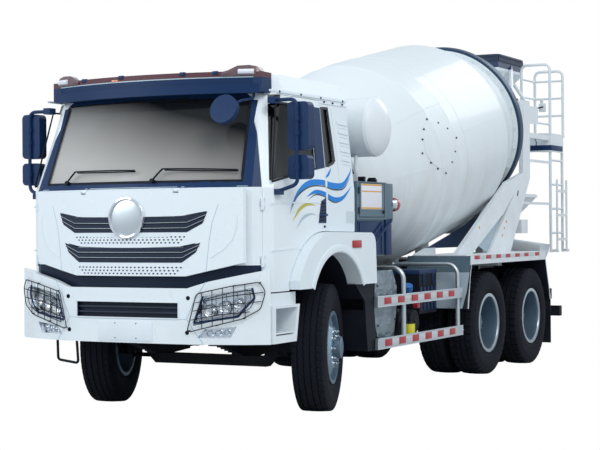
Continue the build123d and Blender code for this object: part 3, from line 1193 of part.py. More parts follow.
def chute():
    """The half-round trough, swung to the truck's left and locked for the road, with its hinge pins."""
    x, y = CHUTE_PIVOT
    start = Vector(x - 150, y, CHUTE_HINGE_Z + 55)
    along = Vector(cos(radians(CHUTE_SLOPE)), 0, -sin(radians(CHUTE_SLOPE)))
    plane = Plane(origin=start, x_dir=(0, 1, 0), z_dir=along)
    trough = extrude(plane * Circle(CHUTE_R), CHUTE_LENGTH) - extrude(plane * Circle(CHUTE_R - 6), CHUTE_LENGTH)
    trough &= extrude(plane * Pos(0, plane_down(plane) * 200) * Rectangle(600, 400), CHUTE_LENGTH)
    hinge = x + CHUTE_HINGE_X
    pins = rod((hinge, y + CHUTE_R - 14, CHUTE_HINGE_Z), (hinge, y + CHUTE_R + 40, CHUTE_HINGE_Z), 16)
    pins += rod((hinge, y - CHUTE_R - 40, CHUTE_HINGE_Z), (hinge, y - CHUTE_R + 14, CHUTE_HINGE_Z), 16)
    return trough + pins


def plane_down(plane):
    """+1 where the plane's own y points down, else -1."""
    return 1.0 if plane.y_dir.Z < 0 else -1.0


def all_nodes():
    panels = cab_panels()
    left_tyre, left_rim = front_wheel(1)
    right_tyre, right_rim = front_wheel(-1)
    glass = door_glass()
    nodes = {
        "frame_rails": frame_rails(), "front_axle": front_axle(), "leaf_springs": both(front_springs()) + both(bogie_springs()),
        "rear_axles": rear_axle(REAR_AXLES[0]) + rear_axle(REAR_AXLES[1]) + propeller_shafts(),
        "engine_block": engine_block(), "bumper_and_steps": bumper() + steps(), "headlamps": headlamps(), "cab_floor": cab_floor(),
        "cab_sides": panels["cab_sides"], "cab_rear": panels["cab_rear"], "cab_roof": panels["cab_roof"],
        "cab_front": panels["cab_front"], "cab_glass": cab_glass(), "sun_visor": sun_visor() + front_mirror(),
        "front_fenders": front_fenders(), "mudguards": mudguards(), "cab_interior": cab_interior(),
        "fuel_tank": fuel_tank(), "side_boxes": side_boxes(), "side_guards": side_guards(),
        "mixer_subframe": mixer_subframe(), "front_pedestal": front_pedestal(), "rear_stand": rear_stand(),
        "water_tank": water_tank(), "control_cabinet": control_cabinet(), "rear_fenders": rear_fenders(),
        "underrun_bar": underrun_bar(), "hopper_and_funnel": hopper() + discharge_funnel(),
        "platform_ladder": platform_ladder(), "grille_lid": grille_lid(),
        "door_left": panels["door_left"], "door_glass_left": glass, "mirror_left": mirror_set(),
        "door_right": panels["door_right"], "door_glass_right": mirrored(glass), "mirror_right": mirrored(mirror_set()),
        "knuckle_left": knuckle(1), "knuckle_right": knuckle(-1), "tie_rod": tie_rod(),
        "front_tyre_left": left_tyre, "front_rim_left": left_rim, "front_tyre_right": right_tyre,
        "front_rim_right": right_rim, "drum_front": drum_front(), "drum_rear": drum_rear(), "drum_ring": drum_ring(),
        "roller_left": roller(1), "roller_right": roller(-1), "chute_post": chute_post(), "chute": chute(),
        "lower_ladder": lower_ladder(),
    }
    for number, y in enumerate(REAR_AXLES, start=1):
        for name, side in (("left", 1), ("right", -1)):
            tyres, rims = rear_wheel(side, y)
            nodes[f"rear_tyres_{name}_{number}"] = tyres
            nodes[f"rear_rims_{name}_{number}"] = rims
    return nodes


def write(nodes):
    os.makedirs("parts", exist_ok=True)
    for name, shape in nodes.items():
        placed = Pos(0, FRONT_AXLE_Y, 0) * shape
        placed.label = name
        export_step(placed, f"parts/{name}.step")


write(all_nodes())
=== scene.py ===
from math import cos, pi, radians, sin, sqrt

import bmesh
import bpy
from mathutils import Matrix, Vector


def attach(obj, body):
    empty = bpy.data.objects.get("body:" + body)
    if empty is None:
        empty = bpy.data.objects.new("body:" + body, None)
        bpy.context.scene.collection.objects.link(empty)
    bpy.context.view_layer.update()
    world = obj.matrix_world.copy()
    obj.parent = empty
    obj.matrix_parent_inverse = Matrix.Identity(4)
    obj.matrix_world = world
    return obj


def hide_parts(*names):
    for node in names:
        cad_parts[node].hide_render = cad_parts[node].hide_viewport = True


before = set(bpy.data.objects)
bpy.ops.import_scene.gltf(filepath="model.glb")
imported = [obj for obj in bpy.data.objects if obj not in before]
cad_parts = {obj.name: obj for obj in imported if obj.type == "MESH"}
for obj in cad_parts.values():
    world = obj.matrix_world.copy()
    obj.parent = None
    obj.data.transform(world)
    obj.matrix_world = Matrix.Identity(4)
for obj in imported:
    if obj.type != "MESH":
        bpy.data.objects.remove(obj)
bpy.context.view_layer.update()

# Sizes shared with the CAD model
FRONT_AXLE = -2.945
AXLE_Z = 0.540
STEER = 16.5
KINGPIN_X = 0.860
FRONT_TRACK = 2.040
REAR_TRACK = 1.850
TWIN_SPACING = 0.332
REAR_AXLES = (3.625, 4.975)
WAIST_Z = 1.870
SIDE_X = 1.150
SIDE_LEAN = 0.0952
LEAN_HEIGHT = 0.788   # of the leaning part of the cab, over the waist
LEAN_IN = 0.075   # of each side over that height
DRUM_TILT = 11.5
DRUM_RING = (5.420, 2.700)

SIDES = ((1, "left"), (-1, "right"))
X_AXIS = Vector((1, 0, 0))
Y_AXIS = Vector((0, 1, 0))


def at(x, y, z):
    """A place given from the front axle, in the frame of the whole truck."""
    return Vector((x, y + FRONT_AXLE, z))


# Mesh building

def new_piece(name, build, material, body="chassis", smooth=35):
    """Makes one object from what build(bm) adds, with its place in its mesh."""
    bm = bmesh.new()
    build(bm)
    bmesh.ops.recalc_face_normals(bm, faces=bm.faces)
    mesh = bpy.data.meshes.new(name)
    bm.to_mesh(mesh)
    bm.free()
    piece = bpy.data.objects.new(name, mesh)
    bpy.context.collection.objects.link(piece)
    mesh.materials.append(material)
    if smooth:
        mesh.shade_smooth()
        mesh.set_sharp_from_angle(angle=radians(smooth))
    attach(piece, body)
    return piece


def block(bm, x, y, z, bevel=0.0):
    """A block between (low, high) corners, its edges broken by a bevel."""
    matrix = Matrix.Translation(at((x[0] + x[1]) / 2, (y[0] + y[1]) / 2, (z[0] + z[1]) / 2))
    matrix = matrix @ Matrix.Diagonal((x[1] - x[0], y[1] - y[0], z[1] - z[0], 1))
    made = bmesh.ops.create_cube(bm, size=1, matrix=matrix)
    if bevel:
        edges = {e for v in made["verts"] for e in v.link_edges}
        bmesh.ops.bevel(bm, geom=list(edges), offset=bevel, segments=2, affect="EDGES", profile=0.6)


def frame_of(direction, up=Vector((0, 0, 1))):
    """Two unit vectors across a direction."""
    if abs(direction.normalized().dot(up)) > 0.98:
        up = Y_AXIS
    side = direction.cross(up).normalized()
    return side, side.cross(direction).normalized()


def spokes(axis, count, start=0.0):
    """Unit vectors across an axis, evenly round it."""
    across, over = frame_of(axis)
    return [across * cos(start + 2 * pi * k / count) + over * sin(start + 2 * pi * k / count) for k in range(count)]


def skin(bm, rings, ends="capped"):
    """Faces from ring to ring of places, with their ends capped, left open or joined to each other."""
    made = [[bm.verts.new(place) for place in ring] for ring in rings]
    for here, there in zip(made, made[1:] + made[:1] if ends == "joined" else made[1:]):
        for k in range(len(here)):
            n = (k + 1) % len(here)
            bm.faces.new((here[k], here[n], there[n], there[k]))
    if ends == "capped":
        bm.faces.new(made[0][::-1])
        bm.faces.new(made[-1])
    return made


def rod(bm, start, end, radius, sides=12, end_radius=None):
    """A round bar, or a cone, closed at both ends."""
    outs = spokes(end - start, sides)
    ends = ((start, radius), (end, radius if end_radius is None else end_radius))
    skin(bm, [[centre + out * r for out in outs] for centre, r in ends])


def rounded_path(points, bend, steps=5):
    """A path's points with each corner turned into an arc."""
    path = [points[0]]
    for before, corner, after in zip(points, points[1:], points[2:]):
        first = (before - corner).normalized()
        last = (after - corner).normalized()
        reach = min(bend, (before - corner).length * 0.49, (after - corner).length * 0.49)
        start, end = corner + first * reach, corner + last * reach
        for k in range(steps + 1):
            t = k / steps
            path.append(start * (1 - t) ** 2 + corner * (2 * t * (1 - t)) + end * t ** 2)
    path.append(points[-1])
    return path


def tube(bm, points, radius, bend=0.05, sides=10):
    """A round tube that follows points, its corners bent."""
    path = rounded_path(points, bend)
    turns = [2 * pi * k / sides for k in range(sides)]
    rings = []
    across = None
    for k, place in enumerate(path):
        along = (path[min(k + 1, len(path) - 1)] - path[max(k - 1, 0)]).normalized()
        if across is None:
            across = frame_of(along)[0]
        across = (across - along * across.dot(along)).normalized()
        over = along.cross(across)
        rings.append([place + across * (radius * cos(turn)) + over * (radius * sin(turn)) for turn in turns])
    skin(bm, rings)


def slab(bm, outline, thick):
    """A flat outline of places made thick along a vector."""
    skin(bm, [outline, [place + thick for place in outline]])


def revolved(bm, profile, centre, axis, sides=48):
    """Turns a closed profile of (along, radius) about an axis through a centre."""
    axis = axis.normalized()
    rings = [[bm.verts.new(centre + axis * a + out * r) for a, r in profile] for out in spokes(axis, sides)]
    count = len(profile)
    for k, here in enumerate(rings):
        there = rings[(k + 1) % sides]
        for j in range(count):
            n = (j + 1) % count
            bm.faces.new((here[j], here[n], there[n], there[j]))
    bmesh.ops.remove_doubles(bm, verts=bm.verts, dist=1e-6)


def turned_over(build, side):
    """Builds on the left and turns the result over for the right side."""
    def made(bm):
        """The left build, or its mirror image."""
        build(bm)
        if side < 0:
            bmesh.ops.scale(bm, vec=(-1, 1, 1), verts=bm.verts)
            bmesh.ops.reverse_faces(bm, faces=bm.faces)
    return made


def for_both(build):
    """Builds a piece on the left and its mirror image on the right."""
    def made(bm):
        """The left build and its copy."""
        build(bm)
        found = bmesh.ops.duplicate(bm, geom=list(bm.verts) + list(bm.edges) + list(bm.faces))["geom"]
        copy = [e for e in found if isinstance(e, bmesh.types.BMVert)]
        faces = [e for e in found if isinstance(e, bmesh.types.BMFace)]
        bmesh.ops.scale(bm, vec=(-1, 1, 1), verts=copy)
        bmesh.ops.reverse_faces(bm, faces=faces)
    return made


def with_mirror(places):
    """Places on the left, each with its direction, and their mirror images."""
    return places + [(Vector((-p.x, p.y, p.z)), Vector((-d.x, d.y, d.z))) for p, d in places]


def between(middles):
    """The places half way between neighbours."""
    return [(a + b) / 2 for a, b in zip(middles, middles[1:])]


# Materials

def fill(tree, node, sockets):
    """Gives a node's inputs, by name or number, a value or another node's output."""
    for key, value in sockets.items():
        if isinstance(value, bpy.types.NodeSocket):
            tree.links.new(value, node.inputs[key])
        else:
            node.inputs[key].default_value = value


def add_node(tree, kind, sockets=None, **settings):
    """A new node with its settings, its inputs filled."""
    made = tree.nodes.new(kind)
    for key, value in settings.items():
        setattr(made, key, value)
    fill(tree, made, sockets or {})
    return made


def own_place(tree):
    """The shaded place in the frame of the whole truck."""
    return add_node(tree, "ShaderNodeTexCoord").outputs["Object"]


def parts_of(tree, vector):
    """A vector's X, Y and Z."""
    return add_node(tree, "ShaderNodeSeparateXYZ", {0: vector}).outputs


def math_node(tree, operation, *values, clamp=False):
    """The result of an operation on numbers or other nodes' outputs."""
    return add_node(tree, "ShaderNodeMath", dict(enumerate(values)), operation=operation, use_clamp=clamp).outputs[0]


def noise(tree, place, scale, detail, rough=0.5, distortion=0.0):
    """Cloudy noise between 0 and 1."""
    return add_node(tree, "ShaderNodeTexNoise", {"Vector": place, "Scale": scale, "Detail": detail, "Roughness": rough,
                                                 "Distortion": distortion}).outputs["Fac"]


def ramp(tree, value, start, end, first=0.0, last=1.0):
    """Follows a value from start to end with a result from first to last."""
    return add_node(tree, "ShaderNodeMapRange", {"Value": value, "From Min": start, "From Max": end, "To Min": first,
                                                 "To Max": last}).outputs["Result"]


def mixed(tree, factor, first, second):
    """The colour between two, each an (r, g, b) or another node's output."""
    ends = [(*end, 1) if isinstance(end, tuple) else end for end in (first, second)]
    return add_node(tree, "ShaderNodeMix", {"Factor": factor, 6: ends[0], 7: ends[1]}, data_type="RGBA").outputs[2]


def relief(tree, height, strength, distance):
    """The surface's direction once a height has been laid on it."""
    return add_node(tree, "ShaderNodeBump", {"Height": height, "Strength": strength,
                                             "Distance": distance}).outputs["Normal"]


def make_group(name, inputs, outputs):
    """An empty shader group with named sockets, its input and output nodes."""
    tree = bpy.data.node_groups.new(name, "ShaderNodeTree")
    for label, kind, value in inputs:
        socket = tree.interface.new_socket(label, in_out="INPUT", socket_type=kind)
        socket.default_value = value
    for label, kind in outputs:
        tree.interface.new_socket(label, in_out="OUTPUT", socket_type=kind)
    return tree, tree.nodes.new("NodeGroupInput"), tree.nodes.new("NodeGroupOutput")


def make_road_dust():
    """Dust that is thick low on the truck and thins out upwards, broken up by noise."""
    tree, given, out = make_group(
        "road dust",
        [("Color", "NodeSocketColor", (1, 1, 1, 1)), ("Dust", "NodeSocketColor", (0.33, 0.31, 0.28, 1)),
         ("Low", "NodeSocketFloat", 0.3), ("High", "NodeSocketFloat", 1.4), ("Amount", "NodeSocketFloat", 0.4)],
        [("Color", "NodeSocketColor"), ("Mask", "NodeSocketFloat")])
    place = own_place(tree)
    fade = ramp(tree, parts_of(tree, place)["Z"], given.outputs["Low"], given.outputs["High"], 1.0, 0.12)
    patches = ramp(tree, noise(tree, place, 2.6, 6.0, 0.62), 0.35, 0.68)
    mask = math_node(tree, "MULTIPLY", math_node(tree, "MULTIPLY", fade, patches), given.outputs["Amount"])
    fill(tree, out, {"Color": mixed(tree, mask, given.outputs["Color"], given.outputs["Dust"]), "Mask": mask})
    return tree


def make_fine_grain():
    """Small unevenness of a surface: a height for Bump and a roughness that varies with it."""
    tree, given, out = make_group(
        "fine grain",
        [("Scale", "NodeSocketFloat", 60.0), ("Roughness", "NodeSocketFloat", 0.4),
         ("Spread", "NodeSocketFloat", 0.1)],
        [("Height", "NodeSocketFloat"), ("Roughness", "NodeSocketFloat")])
    place = own_place(tree)
    broad = math_node(tree, "SUBTRACT", noise(tree, place, 3.0, 4.0), 0.5)
    rough = math_node(tree, "MULTIPLY_ADD", broad, given.outputs["Spread"], given.outputs["Roughness"])
    fill(tree, out, {"Height": noise(tree, place, given.outputs["Scale"], 5.0, 0.55), "Roughness": rough})
    return tree


ROAD_DUST = make_road_dust()
FINE_GRAIN = make_fine_grain()


def start_material(name, metallic=0.0, coat=0.0, specular=0.5):
    """A material with only its shader, ready for the nodes of its finish."""
    made = bpy.data.materials.new(name)
    made.use_nodes = True
    shader = made.node_tree.nodes["Principled BSDF"]
    fill(made.node_tree, shader, {"Metallic": metallic, "Coat Weight": coat, "Coat Roughness": 0.08,
                                  "Specular IOR Level": specular})
    return made, made.node_tree, shader


def grained(tree, **values):
    """The fine grain's outputs for a finish."""
    return add_node(tree, "ShaderNodeGroup", values, node_tree=FINE_GRAIN).outputs


def dusty_finish(name, colour, rough, metallic=0.0, coat=0.0, specular=0.5, dust=0.3, low=0.2, high=1.3, grain=90.0,
                 bump=0.05, dust_colour=(0.36, 0.34, 0.31), spread=0.15):
    """Paint, plastic or metal with fine grain and road dust that thins out upwards."""
    made, tree, shader = start_material(name, metallic, coat, specular)
    dirt = add_node(tree, "ShaderNodeGroup", {"Color": (*colour, 1), "Dust": (*dust_colour, 1), "Low": low,
                                              "High": high, "Amount": dust}, node_tree=ROAD_DUST).outputs
    fine = grained(tree, Scale=grain, Roughness=rough, Spread=spread)
    rougher = math_node(tree, "MULTIPLY_ADD", dirt["Mask"], 0.35, fine["Roughness"], clamp=True)
    fill(tree, shader, {"Base Color": dirt["Color"], "Roughness": rougher,
                        "Normal": relief(tree, fine["Height"], bump, 0.002)})
    return made


def glass_finish(name, tint, rough=0.03):
    """Clear glass for lamp covers."""
    made, tree, shader = start_material(name)
    fill(tree, shader, {"Transmission Weight": 1.0, "IOR": 1.45, "Base Color": (*tint, 1),
                        "Roughness": grained(tree, Roughness=rough, Spread=0.02)["Roughness"]})
    return made


def glass_with_painted_reflection(name, low, high, heights, alpha, shine, across=0.0):
    """Tinted window glass with a painted reflection: greyer towards its lower edge and one side, the grey's edge
    broken up by noise.
    """
    made, tree, shader = start_material(name, coat=0.5 * shine, specular=0.5 * shine)
    place = own_place(tree)
    parts = parts_of(tree, place)
    # Painted reflection: the low colour covers the glass's lower part and one side, and the dark high colour lies
    # above it
    slope = math_node(tree, "MULTIPLY_ADD", parts["X"], across, parts["Z"])
    reflection_level = math_node(tree, "MULTIPLY_ADD", noise(tree, place, 1.3, 2.0), 0.18, slope)
    fade = ramp(tree, reflection_level, heights[0] + 0.09, heights[1] + 0.09)
    fill(tree, shader, {"Base Color": mixed(tree, fade, low, high), "Alpha": alpha,
                        "Roughness": grained(tree, Roughness=0.10, Spread=0.06)["Roughness"]})
    return made


def crumpled_finish(name, colour):
    """Thin metal foil of a heat shield, with large dents and creases, its colour darkened in the dents' hollows as
    painted shade.
    """
    made, tree, shader = start_material(name, metallic=0.75)
    place = own_place(tree)
    dents = noise(tree, place, 9.0, 3.0, distortion=1.2)
    creases = add_node(tree, "ShaderNodeTexVoronoi", {"Vector": place, "Scale": 7.0}, feature="DISTANCE_TO_EDGE")
    height = math_node(tree, "MULTIPLY_ADD", dents, 0.8, creases.outputs["Distance"])
    # Painted shade: the colour darkens where the dents sink, from the same noise as their height
    fill(tree, shader, {"Base Color": mixed(tree, dents, tuple(c * 0.55 for c in colour), colour), "Roughness": 0.42,
                        "Normal": relief(tree, height, 0.7, 0.03)})
    return made


def drum_finish(name):
    """White drum paint with faint cement streaks round the drum and dust along its belly."""
    made, tree, shader = start_material(name, coat=0.25)
    place = own_place(tree)
    from_ring = add_node(tree, "ShaderNodeMapping", {"Vector": place, "Location": (0, -(DRUM_RING[0] + FRONT_AXLE),
                                                                                  -DRUM_RING[1])})
    level = add_node(tree, "ShaderNodeVectorRotate", {"Vector": from_ring.outputs["Vector"],
                                                      "Angle": -radians(DRUM_TILT)}, rotation_type="X_AXIS")
    squeezed = add_node(tree, "ShaderNodeMapping", {"Vector": level.outputs["Vector"], "Scale": (0.9, 3.5, 0.9)})
    stain = ramp(tree, noise(tree, squeezed.outputs["Vector"], 1.7, 7.0, 0.6), 0.42, 0.75)
    belly = ramp(tree, parts_of(tree, place)["Z"], 1.25, 2.6, 0.62, 0.04)
    colour = mixed(tree, math_node(tree, "MULTIPLY", stain, belly), (0.78, 0.845, 0.875), (0.46, 0.43, 0.41))
    fine = grained(tree, Scale=40.0, Roughness=0.42)
    fill(tree, shader, {"Base Color": colour, "Roughness": fine["Roughness"],
                        "Normal": relief(tree, fine["Height"], 0.06, 0.003)})
    return made


def mesh_finish(name, colour, scale):
    """Fine dark mesh behind an intake."""
    made, tree, shader = start_material(name, metallic=0.3)
    place = own_place(tree)
    wires = math_node(tree, "MAXIMUM", *(
        add_node(tree, "ShaderNodeTexWave", {"Vector": place, "Scale": scale}, bands_direction=way).outputs["Fac"]
        for way in ("X", "Z")))
    fill(tree, shader, {"Base Color": mixed(tree, wires, (0.002, 0.004, 0.009), colour), "Roughness": 0.55,
                        "Normal": relief(tree, wires, 0.5, 0.003)})
    return made


def paint_within(material, limits, colour):
    """Paints the material in another colour where every limit holds: a * |x| + b * y + c * z < d."""
    tree = material.node_tree
    shader = tree.nodes["Principled BSDF"]
    source = shader.inputs["Base Color"].links[0].from_socket
    parts = parts_of(tree, own_place(tree))
    mask = 1.0
    for a, b, c, d in limits:
        total = math_node(tree, "MULTIPLY", math_node(tree, "ABSOLUTE", parts["X"]), a)
        for socket, share in ((parts["Y"], b), (parts["Z"], c)):
            total = math_node(tree, "MULTIPLY_ADD", socket, share, total)
        mask = math_node(tree, "MULTIPLY", mask, math_node(tree, "LESS_THAN", total, d))
    fill(tree, shader, {"Base Color": mixed(tree, mask, source, colour)})
    return material


NAVY = (0.006, 0.030, 0.100)
SLAT_NAVY = (0.006, 0.016, 0.040)
NEAR_BLACK = (0.006, 0.009, 0.017)
REVEAL_BLACK = (0.006, 0.007, 0.008)
CAB_WHITE = (0.80, 0.875, 0.92)
REAR_WHITE = (0.78, 0.84, 0.88)
INSIDE_SKIN = (1, 0, SIDE_LEAN, SIDE_X + SIDE_LEAN * WAIST_Z - 0.004)   # deeper than 4 mm in the cab's leaning side

# Paints
WHITE_PAINT = paint_within(
    dusty_finish("white cab paint", (0.76, 0.84, 0.89), 0.45, coat=0.05, specular=0.20, dust=0.16, low=0.3, bump=0.02),
    [INSIDE_SKIN, (0, 0, -1, -2.030), (0, 0, 1, 2.575), (0, 1, 0, 0.180 + FRONT_AXLE)], REVEAL_BLACK)
DOOR_PAINT = paint_within(
    dusty_finish("white door paint", CAB_WHITE, 0.40, coat=0.2, specular=0.25, dust=0.16, low=0.3, bump=0.02),
    [INSIDE_SKIN, (0, 0, -1, -WAIST_Z - 0.080), (0, -1, 0, 0.780 - FRONT_AXLE)], REVEAL_BLACK)
CAB_FRONT_PAINT = dusty_finish("white paint with navy pillars", CAB_WHITE, 0.42, coat=0.05, specular=0.20, dust=0.12,
                               bump=0.02)
paint_within(CAB_FRONT_PAINT, [(0, 0, -1, -WAIST_Z - 0.004)], NAVY)
paint_within(CAB_FRONT_PAINT, [(0, 0, 1, 1.262), (1, 0, 0, 1.075)], SLAT_NAVY)
LID_PAINT = dusty_finish("white lid paint", CAB_WHITE, 0.28, coat=0.6, dust=0.12, low=0.3, bump=0.02)
BUMPER_PAINT = paint_within(
    dusty_finish("white bumper paint", CAB_WHITE, 0.28, coat=0.6, dust=0.16, low=0.3, bump=0.02),
    [(1, 0, 0, 0.4815), (0, 0, 1, 0.973), (0, 0, -1, -0.8495)], SLAT_NAVY)
BODY_PAINT = dusty_finish("white body paint", REAR_WHITE, 0.40, coat=0.3, low=0.7, high=3.2, bump=0.04)
FENDER_PAINT = paint_within(
    dusty_finish("white fender paint", REAR_WHITE, 0.40, coat=0.3, dust=0.25, low=0.7, high=3.2, bump=0.04),
    [(0, 0, 1, 1.160)], NEAR_BLACK)
HOPPER_PAINT = paint_within(
    dusty_finish("white hopper paint", REAR_WHITE, 0.40, coat=0.3, dust=0.25, low=1.2, high=3.4, bump=0.04),
    [(0, 0, -1, -3.475)], NAVY)
DRUM_PAINT = drum_finish("white drum paint")
CABINET_GREY = dusty_finish("slate grey paint", (0.085, 0.15, 0.20), 0.45, dust=0.15, low=1.0, high=2.2)
PANEL_BLUE = dusty_finish("blue-grey plate paint", (0.36, 0.47, 0.55), 0.42, coat=0.2, dust=0.25, low=0.9, high=2.4)

# Plastics and rubbers
NAVY_PLASTIC = dusty_finish("navy plastic", NAVY, 0.42, specular=0.20, dust=0.10, low=0.4, high=2.2, grain=260,
                            bump=0.12)
VISOR_PLASTIC = paint_within(
    dusty_finish("visor plastic", NAVY, 0.42, specular=0.20, dust=0.08, low=1.8, high=2.6, grain=260, bump=0.1),
    [(0, 0, -1, -2.752)], (0.115, 0.050, 0.062))
VISOR_TINT = dusty_finish("brownish visor plastic", (0.115, 0.065, 0.075), 0.3, coat=0.5, dust=0.05, low=2.0, high=2.8)
BLACK_PLASTIC = dusty_finish("black plastic", NEAR_BLACK, 0.55, specular=0.16, dust=0.05, grain=240, bump=0.15)
INTERIOR = dusty_finish("cab interior plastic", (0.055, 0.06, 0.066), 0.6, dust=0.0, grain=300, bump=0.25)
RUBBER = dusty_finish("black rubber", (0.008, 0.010, 0.016), 0.78, specular=0.16, dust=0.05, grain=200, bump=0.3)
TYRE_RUBBER = dusty_finish("tyre rubber", (0.006, 0.008, 0.014), 0.78, specular=0.16, dust=0.05, low=0.0, high=0.9,
                           grain=160, bump=0.3, dust_colour=(0.10, 0.10, 0.10))
HOPPER_RUBBER = dusty_finish("dark hopper rubber", (0.012, 0.03, 0.065), 0.6, dust=0.15, low=2.8, high=3.7, grain=60,
                             bump=0.4)
WINDOW_BORDER = dusty_finish("printed window border", REVEAL_BLACK, 0.3, dust=0.04)

# Metals
CHASSIS_BLACK = dusty_finish("black chassis paint", (0.004, 0.007, 0.014), 0.55, specular=0.16, dust=0.05, high=1.2,
                             grain=70, bump=0.2)
CAST_METAL = dusty_finish("cast metal", (0.03, 0.035, 0.042), 0.6, metallic=0.4, dust=0.2, grain=150, bump=0.35)
WHEEL_STEEL = dusty_finish("blue-grey wheel steel", (0.14, 0.22, 0.30), 0.38, metallic=0.55, dust=0.2, low=0.1,
                           high=0.9)
DISC_STEEL = dusty_finish("painted front wheel disc", (0.30, 0.42, 0.52), 0.30, metallic=0.6, coat=0.3, dust=0.10,
                          low=0.1, high=0.9)
BRIGHT_STEEL = dusty_finish("bright steel", (0.48, 0.55, 0.60), 0.28, metallic=0.9, dust=0.12, grain=120)
RING_STEEL = dusty_finish("dark track ring steel", (0.020, 0.055, 0.11), 0.42, metallic=0.6, dust=0.15, low=1.5,
                          high=3.0)
ALUMINIUM = dusty_finish("brushed aluminium", (0.62, 0.68, 0.72), 0.33, metallic=0.85, dust=0.15, grain=180)
TANK_METAL = dusty_finish("fuel tank aluminium", (0.50, 0.55, 0.60), 0.3, metallic=0.9, dust=0.2, grain=100)
SHEET_METAL = dusty_finish("pale sheet metal", (0.40, 0.49, 0.56), 0.42, metallic=0.15, dust=0.15, grain=25, bump=0.12)
CHROME = dusty_finish("chrome", (0.75, 0.78, 0.82), 0.08, metallic=1.0, dust=0.02, bump=0.0, spread=0.05)
EMBLEM_FACE = dusty_finish("satin silver", (0.60, 0.66, 0.70), 0.30, metallic=0.85, dust=0.02, grain=120)
FOIL = crumpled_finish("crumpled heat shield foil", (0.36, 0.44, 0.50))
DARK_MESH = mesh_finish("dark intake mesh", (0.012, 0.024, 0.055), 26.0)

# Glass, lenses and reflectors
# Painted reflection: the windscreen is pale grey along its lower edge and towards one side, and near black above
SCREEN_GLASS_WITH_PAINTED_REFLECTION = paint_within(
    glass_with_painted_reflection("windscreen glass with painted reflection", (0.50, 0.49, 0.475), (0.010, 0.012, 0.014), (1.88, 2.60), 0.96, 0.30,
                 across=0.32),
    [(-1, 0, 0, -0.985)], (0.002, 0.003, 0.005))
# Painted reflection: the side windows are a little greyer along their lower edge
SIDE_GLASS_WITH_PAINTED_REFLECTION = glass_with_painted_reflection("side window glass with painted reflection", (0.050, 0.052, 0.055), (0.002, 0.003, 0.005), (1.95, 2.42), 1.0, 0.12)
LAMP_GLASS = glass_finish("clear lamp cover", (0.95, 0.98, 1.0))
MIRROR_GLASS = dusty_finish("mirror glass", (0.80, 0.84, 0.86), 0.03, metallic=1.0, dust=0.03, bump=0.0, spread=0.02)
REFLECTOR = dusty_finish("lamp reflector", (0.72, 0.78, 0.84), 0.16, metallic=1.0, dust=0.0, grain=60, bump=0.25)
RED_REFLECTOR = dusty_finish("red reflector", (0.42, 0.005, 0.014), 0.42, coat=0.2, dust=0.03, grain=500, bump=0.15)
WHITE_REFLECTOR = dusty_finish("pale reflector", (0.56, 0.61, 0.64), 0.38, coat=0.3, dust=0.1, grain=500, bump=0.15)
AMBER_LENS = dusty_finish("amber lens", (0.85, 0.20, 0.03), 0.2, coat=0.8, dust=0.03, grain=300, bump=0.15)

# Labels, decals and small coloured parts
LABEL_WHITE = dusty_finish("blank label white", (0.78, 0.80, 0.86), 0.45, dust=0.05)
YELLOW_LABEL = dusty_finish("yellow label", (0.72, 0.66, 0.03), 0.5, dust=0.08)
ORANGE_BAND = dusty_finish("orange band", (0.72, 0.36, 0.03), 0.5, dust=0.05)
SIGN_PLATE = dusty_finish("pale sign plate", (0.60, 0.68, 0.72), 0.38, coat=0.1, dust=0.08)
DECAL_BLUE = dusty_finish("decal blue", (0.002, 0.22, 0.68), 0.4, coat=0.05, specular=0.20, dust=0.02)
DECAL_BLACK = dusty_finish("decal black", (0.010, 0.013, 0.02), 0.35, coat=0.3, dust=0.03)
DECAL_YELLOW = dusty_finish("decal yellow", (0.50, 0.46, 0.02), 0.35, coat=0.3, dust=0.03)
DECAL_GREY = dusty_finish("decal grey", (0.42, 0.55, 0.63), 0.4, coat=0.2, dust=0.03)
VALVE_RED = dusty_finish("red enamel", (0.42, 0.015, 0.03), 0.35, coat=0.4, dust=0.08)
CAP_BLUE = dusty_finish("blue plastic cap", (0.008, 0.14, 0.48), 0.4, dust=0.08)

# Which finish each CAD node gets
FINISHES = (
    (CHASSIS_BLACK, "frame_rails front_axle leaf_springs rear_axles mixer_subframe underrun_bar knuckle_left "
                    "knuckle_right tie_rod"),
    (CAST_METAL, "engine_block roller_left roller_right"),
    (WHITE_PAINT, "cab_sides cab_rear cab_roof front_fenders"),
    (CAB_FRONT_PAINT, "cab_front"),
    (DOOR_PAINT, "door_left door_right"),
    (LID_PAINT, "grille_lid"),
    (BUMPER_PAINT, "bumper_and_steps"),
    (SCREEN_GLASS_WITH_PAINTED_REFLECTION, "cab_glass"),
    (SIDE_GLASS_WITH_PAINTED_REFLECTION, "door_glass_left door_glass_right"),
    (VISOR_PLASTIC, "sun_visor"),
    (NAVY_PLASTIC, "mirror_left mirror_right"),
    (BLACK_PLASTIC, "mudguards side_boxes"),
    (INTERIOR, "cab_interior cab_floor"),
    (TANK_METAL, "fuel_tank"),
    (ALUMINIUM, "side_guards"),
    (BODY_PAINT, "front_pedestal rear_stand water_tank platform_ladder lower_ladder chute_post chute"),
    (FENDER_PAINT, "rear_fenders"),
    (HOPPER_PAINT, "hopper_and_funnel"),
    (CABINET_GREY, "control_cabinet"),
    (DRUM_PAINT, "drum_front drum_rear"),
    (RING_STEEL, "drum_ring"),
    (WHEEL_STEEL, "front_rim_left front_rim_right rear_rims_left_1 rear_rims_left_2 rear_rims_right_1 "
                  "rear_rims_right_2"),
)
for finish, nodes in FINISHES:
    for node in nodes.split():
        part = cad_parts[node]
        if not part.material_slots:
            part.data.materials.append(finish)
        for place in part.material_slots:
            place.material = finish


# Repeated parts, made with Geometry Nodes

